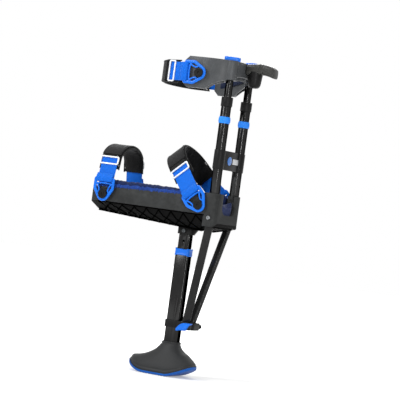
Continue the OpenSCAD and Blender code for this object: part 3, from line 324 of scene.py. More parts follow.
def finishPiece(bm, name, finish, body, standsFor=(), sharp=35, outward=True):
    if outward:
        bmesh.ops.recalc_face_normals(bm, faces=bm.faces)
    slotName = slotOf(finish)
    mesh = meshOf(bm, name)
    mesh.shade_smooth()
    mesh.set_sharp_from_angle(angle=radians(sharp))
    mesh.materials.append(finishes[finish])
    piece = addObject(name, mesh)
    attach(piece, body)
    if standsFor:
        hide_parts(*standsFor)
    return piece


def nodeCopy(node, weld=2e-6, flat=0.5):
    bm = bmesh.new()
    bm.from_mesh(frame["nodes"][node].data)
    bmesh.ops.remove_doubles(bm, verts=bm.verts, dist=weld)
    bmesh.ops.dissolve_limit(bm, angle_limit=radians(flat), verts=bm.verts, edges=bm.edges)
    return bm


def breakEdges(bm, width, segments=2, keen=30):
    edges = [e for e in bm.edges if len(e.link_faces) == 2 and e.calc_face_angle() > radians(keen)]
    bmesh.ops.bevel(bm, geom=edges, offset=width, offset_type="OFFSET", affect="EDGES", segments=segments,
                    profile=0.5, material=-1, clamp_overlap=True, loop_slide=True)


def pieceName(node):
    words = node.split("_")
    return words[0] + "".join(w.capitalize() for w in words[1:])


# the usual case: a piece that takes the place and the name of one node
def standIn(bm, node, finish, **how):
    return finishPiece(bm, pieceName(node), finish, bodyOf(node), (node,), **how)


def edgesOf(bm, ring):
    return [bm.edges.get(pair) for pair in zip(ring, ring[1:] + ring[:1])]


def nextRing(bm, ring, spots):
    made = bmesh.ops.extrude_edge_only(bm, edges=edgesOf(bm, ring))["geom"]
    fresh = {v for v in made if isinstance(v, bmesh.types.BMVert)}
    after = [next(e.other_vert(v) for e in v.link_edges if e.other_vert(v) in fresh) for v in ring]
    for vert, spot in zip(after, spots):
        vert.co = spot
    return after


# a ring of points is carried from place to place, and its ends are capped or joined
def loft(bm, places, joined=False, capped=True):
    ring = bmesh.ops.create_circle(bm, cap_ends=False, segments=len(places[0]), radius=1.0)["verts"]
    for vert, spot in zip(ring, places[0]):
        vert.co = spot
    rings = [ring]
    for spots in places[1:]:
        rings.append(nextRing(bm, rings[-1], spots))
    if joined:
        bmesh.ops.bridge_loops(bm, edges=edgesOf(bm, rings[0]) + edgesOf(bm, rings[-1]))
    elif capped:
        for end in (rings[0], rings[-1]):
            bmesh.ops.contextual_create(bm, geom=edgesOf(bm, end))
    return rings


def lofted(places, **how):
    bm = bmesh.new()
    loft(bm, places, **how)
    return bm


def sweep(bm, frames, section, joined=False):
    places = [[spot + fore * (u * mm) + out * (v * mm) for u, v in section] for spot, fore, out in frames]
    return loft(bm, places, joined)


# a flat line with rounded corners, each given as (u, v, radius)
def roundedLine(corners, closed=False, steps=6):
    line = []
    for i, (u, v, radius) in enumerate(corners):
        here = Vector((u, v))
        if radius == 0 or (not closed and i in (0, len(corners) - 1)):
            line.append(here)
            continue
        back = (Vector(corners[i - 1][:2]) - here).normalized()
        ahead = (Vector(corners[(i + 1) % len(corners)][:2]) - here).normalized()
        half = back.angle(ahead) / 2
        centre = here + (back + ahead).normalized() * (radius / sin(half))
        arm = here + back * (radius / tan(half)) - centre
        last = here + ahead * (radius / tan(half)) - centre
        first = atan2(arm.y, arm.x)
        turn = (atan2(last.y, last.x) - first + pi) % (2 * pi) - pi
        angles = [first + turn * k / steps for k in range(steps + 1)]
        line += [centre + radius * Vector((cos(angle), sin(angle))) for angle in angles]
    return line


def roundedBar(wide, thick, radius, steps=3):
    w, t = wide / 2, thick / 2
    return roundedLine([(w, -t, radius), (w, t, radius), (-w, t, radius), (-w, -t, radius)], True, steps)


# unit directions along a flat line
def runsAlong(line, closed=False):
    runs = []
    for i in range(len(line)):
        back, ahead = (i - 1, (i + 1) % len(line)) if closed else (max(i - 1, 0), min(i + 1, len(line) - 1))
        runs.append((line[ahead] - line[back]).normalized())
    return runs


def flatFrames(line, centre, along, up, closed=False):
    return [((centre + along * here.x + up * here.y) * mm, along * -run.y + up * run.x, along.cross(up))
            for here, run in zip(line, runsAlong(line, closed))]


def mirrorAcross(bm):
    geom = bm.verts[:] + bm.edges[:] + bm.faces[:]
    bmesh.ops.mirror(bm, geom=geom, matrix=Matrix.Identity(4), merge_dist=-1.0, axis="Y")


def flipAcross(bm):
    bmesh.ops.transform(bm, matrix=Matrix.Scale(-1, 4, (0, 1, 0)), verts=bm.verts)


def pushOut(bm, distance):
    bm.normal_update()
    for vert in bm.verts:
        vert.co = vert.co + vert.normal * distance


def lathe(bm, profile, centre, axis, steps=40, weld=1e-6):
    centre, axis = Vector(centre), Vector(axis)
    arm = axis.orthogonal().normalized()
    spots = [(centre + arm * radius + axis * height) * mm for radius, height in profile]
    chain = [bmesh.ops.create_vert(bm, co=spot)["vert"][0] for spot in spots]
    edges = [bm.edges.new(pair) for pair in zip(chain, chain[1:])]
    bmesh.ops.spin(bm, geom=chain + edges, cent=centre * mm, axis=axis, angle=2 * pi, steps=steps,
                   use_merge=True)
    bmesh.ops.remove_doubles(bm, verts=bm.verts, dist=weld)


def mix(a, b, t):
    return a + (b - a) * t


def evenly(steps):
    return [k / steps for k in range(steps + 1)]


def at(x, y, z):
    return Vector((x, y, z)) * mm


# a smooth run through a short list of shares
def flow(shares, t):
    spot = min(max(t, 0.0), 1.0) * (len(shares) - 1)
    k = min(int(spot), len(shares) - 2)
    f = spot - k
    a, b, c, d = (shares[min(max(k + j, 0), len(shares) - 1)] for j in (-1, 0, 1, 2))
    return b + 0.5 * f * (c - a + f * (2 * a - 5 * b + 4 * c - d + f * (3 * (b - c) + d - a)))


def ramp(value, start, length):
    return min(max((value - start) / length, 0.0), 1.0)


# a sum of smooth bumps, each given as (rise, place, width)
def swell(x, bumps):
    return sum(rise * exp(-((x - middle) / wide) ** 2) for rise, middle, wide in bumps)


def turns(points, start=0.5):
    return [2 * pi * (i + start) / points for i in range(points)]


def eggRing(a, b, power, points):
    ring = []
    for angle in turns(points):
        c, s = cos(angle), sin(angle)
        ring.append((copysign(a * abs(c) ** (2 / power), c), copysign(b * abs(s) ** (2 / power), s)))
    return ring


# camera, light and floor
view = dict(
    azimuth=26.0, distance=4.6, height=0.43, target=(0.0212, 0.0103, 0.466), roll=7.74, lens=158.0,
    sensor=36.0, clip=60.0)


def setCamera():
    aim = Vector(view["target"])
    turn = radians(view["azimuth"])
    spot = aim + view["distance"] * Vector((sin(turn), -cos(turn), 0))
    spot.z = view["height"]
    lensData = bpy.data.cameras.new("camera")
    lensData.lens = view["lens"]
    lensData.sensor_width = view["sensor"]
    lensData.clip_end = view["clip"]
    camera = addObject("camera", lensData)
    turned = (aim - spot).to_track_quat("-Z", "Y").to_matrix().to_4x4()
    camera.matrix_world = Matrix.Translation(spot) @ turned @ Matrix.Rotation(radians(view["roll"]), 4, "Z")
    scene.camera = camera


lampAim = Vector((0, 0, 0.45))
lamps = {
    "key": dict(spot=(-1.7, -3.0, 2.5), size=(0.45, 2.2), power=78.0),
    "side": dict(spot=(2.05, -2.45, 0.8), size=(0.07, 2.0), power=34.0),
    "top": dict(spot=(-0.3, -0.5, 3.2), size=(1.6, 1.6), power=26.0),
    "rim": dict(spot=(-1.2, 2.8, 2.0), size=(0.6, 2.0), power=24.0),
}


def setLamp(name, look):
    data = bpy.data.lights.new(name, "AREA")
    data.energy = look["power"]
    data.shape = "RECTANGLE"
    data.size, data.size_y = look["size"]
    lamp = addObject(name, data)
    lamp.location = look["spot"]
    lamp.rotation_euler = (lampAim - Vector(look["spot"])).to_track_quat("-Z", "Y").to_euler()


def setWorld(ambient=0.5):
    world = bpy.data.worlds.new("studio")
    world.use_nodes = True
    tree = world.node_tree
    tree.nodes.clear()
    output = tree.nodes.new("ShaderNodeOutputWorld")
    strength = spread(tree, seenRays(tree), fullSpan, (ambient, 1.0))
    back = place(tree, "Background", "Background", {"Color": white, "Strength": strength})
    tree.links.new(back, output.inputs["Surface"])
    scene.world = world


# the floor glows to white away from the part
def setFloor(radius=9.0, segments=96, colour=(0.86, 0.86, 0.86, 1), grain=(260.0, 3.0), rough=(0.75, 0.9),
             specular=0.1, span=(0.45, 1.3), glow=(0.3, 1.0)):
    bm = bmesh.new()
    bmesh.ops.create_circle(bm, cap_ends=True, segments=segments, radius=radius)
    floor = addObject("floor", meshOf(bm, "floor"))
    finish, tree, shader = startFinish("floorPale")
    where = objectSpace(tree)
    away = place(tree, "VectorMath", "Value", {0: where}, operation="LENGTH")
    strength = figure(tree, "MULTIPLY", seenRays(tree), spread(tree, away, span, glow))
    roughness = spread(tree, speckle(tree, where, *grain), noiseSpan, rough)
    wireAll(tree, shader, {
        "Base Color": colour, "Specular IOR Level": specular, "Roughness": roughness, "Emission Color": white,
        "Emission Strength": strength})
    floor.data.materials.append(finish)


setCamera()
for name, look in lamps.items():
    setLamp(name, look)
setWorld()
setFloor()
print("camera, light and floor set")


# rigid parts that keep their CAD form get broken edges and their finish
rigid = {
    "leg_tube": (0.4, "legBlack"),
    "inner_tube": (0.3, "legBlack"),
    "inner_plug": (0.6, "mouldedBlack"),
    "strut_clamp": (1.2, "mouldedBlack"),
    "clamp_skewer": (0.6, "darkSteel"),
    "cam_yoke": (0.4, "darkSteel"),
    "cam_pin": (0.4, "darkSteel"),
    "leg_bracket": (1.0, "mouldedBlack"),
    "near_lower_upright": (0.4, "legBlack"),
    "far_lower_upright": (0.4, "legBlack"),
    "upright_bushings": (0.8, "mouldedBlack"),
    "cross_panel": (0.9, "mouldedBlack"),
    "panel_badge": (0.3, "badgeBlue"),
    "panel_label": (0.3, "labelWhite"),
    "thigh_band": (1.2, "bandGrey"),
    "near_upper_tube": (0.4, "legBlack"),
    "far_upper_tube": (0.4, "legBlack"),
    "tube_feet": (0.5, "mouldedBlack"),
    "upright_caps": (1.8, "brightBlue"),
    "handle_screws": (0.5, "steel"),
}
for node, (width, finish) in rigid.items():
    bm = nodeCopy(node)
    breakEdges(bm, width * mm)
    standIn(bm, node, finish, outward=False)
print("rigid parts finished:", len(rigid))


# struts: flat bars with rounded corners, squarer than their solids
strut = dict(foot=(40, -15, 131.75), top=(94, -60, 423), past=9, roll=61, bar=(20.6, 12.4, 3.2, 6))


def makeStrut(node, side):
    low, top = Vector(strut["foot"]), Vector(strut["top"])
    axis = (top - low).normalized()
    tilt, turn, roll = acos(axis.z), atan2(axis.y, axis.x), radians(strut["roll"])
    fore = Vector((cos(turn) * cos(tilt), sin(turn) * cos(tilt), -sin(tilt)))
    left = Vector((-sin(turn), cos(turn), 0))
    wide = fore * cos(roll) + left * sin(roll)
    thin = left * cos(roll) - fore * sin(roll)
    end = top + axis * strut["past"]
    bm = bmesh.new()
    sweep(bm, [(low.lerp(end, t) * mm, wide, thin) for t in (0, 0.5, 1)], roundedBar(*strut["bar"]))
    if side > 0:
        flipAcross(bm)
    standIn(bm, node, "strutBlack", sharp=50)


makeStrut("near_strut", -1)
makeStrut("far_strut", 1)


# platform shell: the lower corners of its back end, at keel and chine, drop below those of the solid
shell = dict(back=-257.5, below=439, keelHalf=40, keelDrop=16, chineDrop=12, edge=0.9)


def shellCopy():
    bm = nodeCopy("platform_shell")
    for vert in bm.verts:
        x, y, z = vert.co / mm
        if x < shell["back"] and z < shell["below"]:
            vert.co.z -= shell["keelDrop" if abs(y) < shell["keelHalf"] else "chineDrop"] * mm
    return bm


def makeShell():
    bm = shellCopy()
    breakEdges(bm, shell["edge"] * mm)
    standIn(bm, "platform_shell", "shellGrey", outward=False)


makeShell()


# underside of the platform: a near-black skin over the down-facing faces below the chine as painted shade,
# rails along its edges and crossed ribs between them, near-black as painted shadow lines
# a rail is (share of the way from chine to keel, depth, first x, last x)
underside = dict(
    chine=(77, 430), keel=((-235, 34, 408), (60, 34, 390), (120, 58, 400)), first=-232, pitch=36, cells=9,
    rails=((0.03, 4.0, -234, 80), (0.98, 10.4, -249, 104)))


def hullPoint(x, share, side):
    keel, chine = underside["keel"], underside["chine"]
    back, fore = keel[:2] if x < keel[1][0] else keel[1:]
    t = (x - back[0]) / (fore[0] - back[0])
    y, z = (mix(chine[i], mix(back[i + 1], fore[i + 1], t), share) for i in (0, 1))
    return Vector((x, side * y, z))


def hullBar(bm, stops, out, wide, thick, corner=0.8):
    side = (stops[-1] - stops[0]).cross(out).normalized()
    sweep(bm, [(spot * mm, side, out) for spot in stops], roundedBar(wide, thick, corner))


# a rib follows the bulge of the skin between its two ends
def skinLine(skin, a, b, out, cast=30, steps=12):
    line = []
    for t in evenly(steps):
        spot = a.lerp(b, t)
        hit = skin.ray_cast((spot + out * cast) * mm, -out)[0]
        line.append(hit / mm if hit else spot)
    return line


def addRails(bm, side, out, wide=3.4, tuck=5):
    for share, drop, first, last in underside["rails"]:
        stops = [hullPoint(x, share, side) for x in (first, underside["keel"][1][0], last)]
        stops[-1].z += tuck * share
        for a, b in zip(stops, stops[1:]):
            hullBar(bm, [a, a.lerp(b, 0.5), b], out, wide, drop)


def addRibs(bm, side, out, skin, shares=(0.05, 0.96), wide=2.6, thick=4.6):
    for cell in range(underside["cells"]):
        start = underside["first"] + cell * underside["pitch"]
        end = start + underside["pitch"]
        for low, high in (shares, shares[::-1]):
            stops = skinLine(skin, hullPoint(start, low, side), hullPoint(end, high, side), out)
            hullBar(bm, stops, out, wide, thick)


def makeUnderside(facesDown=-0.15, overChine=4, lift=0.35):
    bm = shellCopy()
    bm.normal_update()
    top = underside["chine"][1] * mm + overChine * mm
    hidden = [f for f in bm.faces if f.normal.z > facesDown or f.calc_center_median().z > top]
    bmesh.ops.delete(bm, geom=hidden, context="FACES")
    pushOut(bm, lift * mm)
    skin = BVHTree.FromBMesh(bm)
    # the skin is painted shade: near-black on the faces that look down
    finishPiece(bm, "undersideSkin", "trayBlack", "platform", outward=False)
    bm = bmesh.new()
    back = underside["keel"][0][0]
    for side in (-1, 1):
        slope = (hullPoint(back, 1, side) - hullPoint(back, 0, side)).cross(Vector((1, 0, 0))).normalized()
        out = slope if slope.z < 0 else -slope
        addRails(bm, side, out)
        addRibs(bm, side, out, skin)
    # rails and ribs in near-black without gloss: painted shadow lines
    finishPiece(bm, "undersideLattice", "latticeBlack", "platform", sharp=40)


makeUnderside()


# foot: a rubber boot drawn in to the leg, on a rocker sole with cross grooves
# the shares run from the sole to the leg, and the bumps are placed by ring
foot = dict(
    length=184, width=104, back=17, power=2.7, flat=60, rise=24, toe=1.1, sole=6.5, top=88, neck=(48, 36),
    inset=1.5, toePower=1.4, heelPower=2.4, overSole=0.15,
    flareShares=(1, 0.985, 0.95, 0.86, 0.68, 0.5, 0.33, 0.17, 0.05, 0),
    toeShares=(1, 0.98, 0.93, 0.83, 0.68, 0.5, 0.24, 0.05, 0.01, 0),
    heelShares=(1, 0.985, 0.96, 0.9, 0.68, 0.4, 0.2, 0.08, 0.02, 0),
    riseShares=(0, 0.08, 0.18, 0.3, 0.44, 0.58, 0.71, 0.84, 0.94, 1),
    bumps=((0.9, 3.5, 1.2), (-0.7, 6.5, 0.9), (1.2, 42.0, 1.3), (-0.8, 39.0, 1.2)),
    mouth=((23.2, 17.2, 89.2), (21.6, 15.6, 89.2), (20.6, 14.6, 88.2), (20.2, 14.2, 80)), mouthPower=3.4)


def rocker(x):
    past = max(0.0, abs(x + foot["back"]) - foot["flat"] / 2) / (foot["length"] / 2 - foot["flat"] / 2)
    if x > -foot["back"]:
        return foot["rise"] * foot["toe"] * past ** foot["toePower"]
    return foot["rise"] * past ** foot["heelPower"]


def makeBoot(steps=44, points=96):
    places = []
    reach = foot["length"] / 2 - foot["inset"]
    long, broad = (size / 2 for size in foot["neck"])
    for k in range(steps + 1):
        t = k / steps
        bulge = swell(k, foot["bumps"])
        lift = flow(foot["riseShares"], t)
        toe = mix(long, reach - foot["back"], flow(foot["toeShares"], t)) + bulge
        heel = mix(long, reach + foot["back"], flow(foot["heelShares"], t)) + bulge
        half = mix(broad, foot["width"] / 2 - foot["inset"], flow(foot["flareShares"], t)) + bulge
        ring = []
        for share, y in eggRing(1, half, foot["power"], points):
            x = share * (toe if share > 0 else heel)
            low = rocker(x) + foot["sole"] + foot["overSole"]
            ring.append(at(x, y, mix(low, foot["top"], lift)))
        places.append(ring)
    for a, b, z in foot["mouth"]:
        places.append([at(x, y, z) for x, y in eggRing(a, b, foot["mouthPower"], points)])
    standIn(lofted(places, capped=False), "foot_boot", "bootRubber", sharp=50)


# the sole is sliced by angle and at the lips of its grooves; the wall steps are (out, up)
sole = dict(
    slices=range(-87, 88, 3), grooves=range(-63, 64, 9), lips=(-1.8, -1.3, 1.3, 1.8), half=1.5, depth=1.6,
    within=0.9, edge=0.86, edgeLift=2.0, brim=0.985,
    wall=((0, 2.8), (-0.6, 3.3), (-0.6, 3.8), (0, 4.3), (0, 6.1)))


def makeSole(columns=18):
    places = []
    half = foot["length"] / 2
    stops = {round(half * sin(radians(angle)), 2) for angle in sole["slices"]}
    stops |= {groove + lip for groove in sole["grooves"] for lip in sole["lips"]}
    for stop in sorted(stops):
        x = stop - foot["back"]
        wide = foot["width"] / 2 * (1 - (abs(stop) / half) ** foot["power"]) ** (1 / foot["power"])
        low = rocker(x)
        cut = sole["depth"] if any(abs(stop - groove) < sole["half"] for groove in sole["grooves"]) else 0.0
        ring = []
        for t in evenly(columns):
            y = mix(-1, 1, t)
            edge = max(0.0, abs(y) - sole["edge"]) / (1 - sole["edge"])
            ring.append((y * wide, low + sole["edgeLift"] * edge * edge + cut * (abs(y) < sole["within"])))
        wall = [(wide + out, low + up) for out, up in sole["wall"]]
        wall.append((wide * sole["brim"], low + foot["sole"]))
        ring += wall + [(-y, z) for y, z in reversed(wall)]
        places.append([at(x, y, z) for y, z in ring])
    standIn(lofted(places), "foot_sole", "soleBlue", sharp=42)


makeBoot()
makeSole()


# collar at the top of the outer leg: a closed band with two raised lips and a low waist
collar = dict(
    low=315, tube=(39, 27, 6.5), cornerSteps=10, waist=0.7, waistEnd=3, waistPower=4,
    section=((0, 0), (1.3, 0.2), (1.9, 0.9), (2.0, 3.4), (1.5, 4.4), (1.5, 15.6), (2.0, 16.6), (1.9, 19.1),
             (1.3, 19.8), (0, 20)))


def makeCollar():
    line = roundedBar(*collar["tube"], collar["cornerSteps"])
    reach = collar["tube"][0] / 2 - collar["waistEnd"]
    middle = collar["section"][-1][1] / 2
    level = collar["low"] + middle
    places = []
    for here, run in zip(line, runsAlong(line, True)):
        tall = mix(collar["waist"], 1, min(1.0, abs(here.x) / reach) ** collar["waistPower"])
        places.append([at(here.x + run.y * u, here.y - run.x * u, level + (v - middle) * tall)
                       for u, v in collar["section"]])
    standIn(lofted(places, joined=True), "leg_collar", "brightBlue", sharp=40)


makeCollar()


# cam lever: a blue wing that grips the cam pin, sweeps back and droops, on a black barrel
lever = dict(
    pivot=(60, -35.3, 136.5), nose=8.4, reach=36, height=17, bow=2.0, power=2.8,
    topShares=(0.5, 0.53, 0.53, 0.51, 0.48, 0.42, 0.31, 0.12, -0.16, -0.5),
    underShares=(-0.44, -0.1, 0.42, 0.66, 0.74, 0.74, 0.72, 0.76, 0.86, 0.86),
    thick=(9.0, 14.0, 15.4, 12.0, 8.6, 7.0, 6.0, 5.2, 4.4, 2.8),
    barrel=((0, -9.2), (4.4, -9.2), (5.4, -8.2), (5.4, 8.2), (4.4, 9.2), (0, 9.2)))


def makeLever(steps=40, points=24):
    places = []
    pivotX, pivotY, pivotZ = lever["pivot"]
    for t in evenly(steps):
        x = pivotX + lever["nose"] - (lever["reach"] + lever["nose"]) * t
        y = pivotY - lever["bow"] * sin(pi * t)
        top = lever["height"] * flow(lever["topShares"], t)
        under = lever["height"] * flow(lever["underShares"], t)
        middle = pivotZ + (top - under) / 2
        ring = eggRing(flow(lever["thick"], t) / 2, (top + under) / 2, lever["power"], points)
        places.append([at(x, y + u, middle + v) for u, v in ring])
    finishPiece(lofted(places), "leverWing", "brightBlue", bodyOf("cam_lever"), ("cam_lever",), sharp=60)
    bm = bmesh.new()
    lathe(bm, lever["barrel"], lever["pivot"], (0, 0, 1))
    finishPiece(bm, "leverBarrel", "mouldedBlack", bodyOf("cam_lever"), sharp=40)


makeLever()


# cap screws with a hexagon socket, along the crosswise axis
screws = {
    "foot_bolt": dict(finish="darkSteel", spans=((-21.5, 21.5),)),
    "strut_bolt": dict(finish="steel", spans=((-29.5, 29.5),)),
    "bracket_bolt": dict(finish="dullSteel", spans=((-18.7, 18.7),)),
    "side_screws": dict(finish="steel", spans=((-80.5, -54), (80.5, 54))),
}


# a head's steps are (radius, depth below its face), from the socket's floor out and down to the shank
screwHead = dict(
    socket=((2.4, 2.2), (2.4, 0.35), (2.75, 0)), shank=3.0,
    rim=((4.2, 0), (4.8, 0.35), (5.0, 0.9), (5.0, 3.4), (3.0, 3.5)))


def hexagon(flat, angle):
    return flat / cos((angle + pi / 6) % (pi / 3) - pi / 6)


def screwRing(centre, y, radius, sixSided=False, points=36):
    ring = []
    for angle in turns(points, 0):
        reach = hexagon(radius, angle) if sixSided else radius
        ring.append(at(centre[0] + reach * cos(angle), y, centre[1] + reach * sin(angle)))
    return ring


def screwEnd(centre, y, inward):
    socket = [screwRing(centre, y + depth * inward, radius, True) for radius, depth in screwHead["socket"]]
    return socket + [screwRing(centre, y + depth * inward, radius) for radius, depth in screwHead["rim"]]


def makeScrew(bm, centre, start, end, bothEnds):
    inward = 1 if end > start else -1
    places = screwEnd(centre, start, inward)
    if bothEnds:
        places += screwEnd(centre, end, -inward)[::-1]
    else:
        places.append(screwRing(centre, end, screwHead["shank"]))
    loft(bm, places)


for node, screw in screws.items():
    low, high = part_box(node)
    centre = [(low[axis] + high[axis]) / 2 / mm for axis in (0, 2)]
    bm = bmesh.new()
    for start, end in screw["spans"]:
        makeScrew(bm, centre, start, end, len(screw["spans"]) == 1)
    standIn(bm, node, screw["finish"], sharp=30)
print("foot and screws done")


# lock rings with grip ribs between two plain bands; a level is (step in, height, share of the rib)
lockRing = dict(
    centre=(94, 60), low=668, tall=17, inner=13.3, outer=14.8, rib=0.7, ribs=24, ribPower=0.5,
    levels=((-0.8, 0, 0), (0, 0.8, 0), (0, 3.4, 0), (0, 4.2, 1), (0, 12.8, 1), (0, 13.6, 0), (0, 16.2, 0),
            (-0.8, 17, 0)))


def makeLockRing(node, side, points=192):
    levels = [(lockRing["outer"] + step, up, grip) for step, up, grip in lockRing["levels"]]
    levels += [(lockRing["inner"], up, 0) for up in (lockRing["tall"], 0)]
    x, y = lockRing["centre"]
    places = []
    for radius, up, grip in levels:
        ring = []
        for angle in turns(points, 0):
            rib = max(0.0, cos(angle * lockRing["ribs"])) ** lockRing["ribPower"]
            reach = radius + grip * lockRing["rib"] * rib
            ring.append(at(x + reach * cos(angle), side * y + reach * sin(angle), lockRing["low"] + up))
        places.append(ring)
    standIn(lofted(places, joined=True), node, "ringBlue", sharp=40)


makeLockRing("near_lock_ring", -1)
makeLockRing("far_lock_ring", 1)


# handle: flush with the band, with a lip before the grip, a blunt drooped end and a round boss below its root
handle = dict(
    start=115.6, length=78, height=34, width=40, top=830, power=4.0,
    bumps=((0.9, 152, 2.2), (-0.9, 161, 1.1)), rootRound=1.6, rootRun=2,
    reachShares=(0, 0.12, 0.3, 0.4, 0.5, 0.6, 0.7, 0.8, 0.88, 0.95, 0.99, 1),
    wideShares=(1, 1, 0.95, 0.9, 0.87, 0.85, 0.84, 0.83, 0.82, 0.8, 0.74, 0.64),
    topShares=(0.02, 0.03, 0.08, 0.1, 0.1, 0.09, 0.06, 0.01, -0.05, -0.13, -0.2, -0.27),
    underShares=(0.83, 0.81, 0.73, 0.7, 0.7, 0.72, 0.75, 0.8, 0.85, 0.9, 0.9, 0.86))
boss = dict(
    centre=20, drop=60, steps=56,
    profile=((0, 0), (8, 0.3), (12, 1.6), (14.6, 4), (16.2, 7.4), (17.4, 12), (19.8, 38), (19.8, 42),
             (0, 42)))


def makeHandle(steps=150, points=64):
    places = []
    for t in evenly(steps):
        x = handle["start"] + handle["length"] * flow(handle["reachShares"], t)
        root = handle["rootRound"] * max(0.0, 1 - (x - handle["start"]) / handle["rootRun"])
        bulge = swell(x, handle["bumps"]) - root
        wide = handle["width"] / 2 * flow(handle["wideShares"], t) + bulge
        top = handle["height"] * flow(handle["topShares"], t) + bulge
        under = handle["height"] * flow(handle["underShares"], t) + bulge
        middle = handle["top"] + (top - under) / 2
        ring = eggRing(wide, (top + under) / 2, handle["power"], points)
        places.append([at(x, u, middle + v) for u, v in ring])
    standIn(lofted(places), "handle", "handleGrey", sharp=50)
    bm = bmesh.new()
    centre = (handle["start"] + boss["centre"], 0, handle["top"] - boss["drop"])
    lathe(bm, boss["profile"], centre, (0, 0, 1), boss["steps"])
    finishPiece(bm, "handleBoss", "mouldedBlack", bodyOf("handle"), sharp=50)


makeHandle()
print("lock rings and handle done")


# straps: posts, clips, webbing, sliders and padded bands, each strap in its own leaning frame
straps = {
    "calf": dict(post=(-217, 0, 448), lean=0, half=77, turn=38, waist=69, top=90, high=134),
    "knee": dict(post=(64, 0, 452), lean=41, half=77, turn=58, waist=65, top=110, high=176),
    "thigh": dict(post=(27, 0, 788), lean=90, half=100, turn=50, waist=91, top=84, high=140),
}
webbing = dict(
    strip=(48, 2.2), gap=3.1, loop=8.0, start=7.5, turnBend=14, bar=(32.7, 3.9), flapLow=45, flapBend=6,
    flapIn=3.2, flapTop=54.5, bendSteps=8)
across = Vector((0, 1, 0))
for strap in straps.values():
    lean = radians(strap["lean"])
    strap["origin"] = Vector(strap["post"])
    strap["fore"] = Vector((cos(lean), 0, sin(lean)))
    strap["up"] = Vector((-sin(lean), 0, cos(lean)))
    strap["inner"] = -strap["half"] - webbing["gap"]
    strap["corner"] = Vector((-strap["waist"], strap["top"]))
    strap["run"] = (strap["corner"] - Vector((strap["inner"], strap["turn"]))).normalized()
    strap["proud"] = Vector((-strap["run"].y, strap["run"].x))


def strapPoint(strap, x, flat):
    return strap["origin"] + strap["fore"] * x + across * flat[0] + strap["up"] * flat[1]


def stripFrames(strap, line, x=0.0):
    return [(strapPoint(strap, x, here) * mm, strap["fore"], across * -run.y + strap["up"] * run.x)
            for here, run in zip(line, runsAlong(line))]


# a woven strip keeps its own across and along distances for the weave
def makeStrip(bm, strap, line, width, thick, corner=0.42):
    layer = bm.verts.layers.float_vector.get("weave") or bm.verts.layers.float_vector.new("weave")
    section = roundedBar(width, thick, thick * corner)
    travelled = 0.0
    for k, ring in enumerate(sweep(bm, stripFrames(strap, line), section)):
        travelled += (line[k] - line[max(k - 1, 0)]).length * mm
        for vert, (u, v) in zip(ring, section):
            vert[layer] = (u * mm, travelled, v * mm)


# only the thigh posts have a rivet, which goes into the band
post = dict(
    profile=((0, 0), (15, 0), (15, 2.6), (14.4, 3.6), (13.2, 4), (10, 4), (10, 10.2), (11.9, 10.2),
             (12.5, 10.8), (12.5, 11.8), (11.4, 13), (8.2, 13.2), (7.6, 12.6), (5.2, 12.6), (5.0, 12.9),
             (3.1, 12.9), (2.7, 11.2), (0, 11.2)),
    steps=48, rivet=((0, 1), (3, 1), (3, -7), (0, -7)), rivetSteps=24)


def makePosts(name, strap):
    bm = bmesh.new()
    centre = strapPoint(strap, 0, (-strap["half"], 0))
    lathe(bm, post["profile"], centre, -across, post["steps"])
    if name == "thigh":
        lathe(bm, post["rivet"], centre, -across, post["rivetSteps"])
    mirrorAcross(bm)
    standIn(bm, name + "_posts", "mouldedBlack", sharp=40)


# a clip is a round-nosed frame with an arched bar and two sprung fingers that hold the post
clip = dict(
    proud=7.1, rim=((26.4, 41, 4), (26.8, 15, 9), (0, -27.8, 14.8), (-26.8, 15, 9), (-26.4, 41, 4)),
    rimBar=(8.2, 5.0, 2.0), rimSteps=10, archHalf=25, archStep=5, archTop=28.8, archDrop=2.4,
    archBar=(4.0, 4.6, 1.3), finger=((21, 27.5, 0), (15.4, 18, 8), (12.6, 9, 4), (15.8, 4.4, 0)),
    fingerBar=(3.8, 4.4, 1.3))


def makeClip(name, strap, far):
    bm = bmesh.new()
    plane = (strapPoint(strap, 0, (-strap["half"] - clip["proud"], 0)), strap["fore"], strap["up"])
    rim = roundedLine(clip["rim"], True, clip["rimSteps"])
    sweep(bm, flatFrames(rim, *plane, True), roundedBar(*clip["rimBar"]), joined=True)
    half = clip["archHalf"]
    arch = [Vector((x, clip["archTop"] - clip["archDrop"] * (x / half) ** 2))
            for x in range(-half, half + 1, clip["archStep"])]
    sweep(bm, flatFrames(arch, *plane), roundedBar(*clip["archBar"]))
    for side in (-1, 1):
        finger = roundedLine([(side * u, v, radius) for u, v, radius in clip["finger"]])
        sweep(bm, flatFrames(finger, *plane), roundedBar(*clip["fingerBar"]))
    if far:
        flipAcross(bm)
    standIn(bm, name + ("_far_clip" if far else "_near_clip"), "brightBlue", sharp=40)


# a stitch is a short arc of thread; its steps are (share of its length, lift)
def addStitch(bm, start, end, proud, radius=0.38, points=6,
              steps=((0.0, -0.5), (0.15, 0.15), (0.5, 0.3), (0.85, 0.15), (1.0, -0.5))):
    side = (end - start).normalized().cross(proud)
    ring = [radius * Vector((cos(a), sin(a))) for a in turns(points, 0)]
    sweep(bm, [((start.lerp(end, t) + proud * lift) * mm, side, proud) for t, lift in steps], ring)


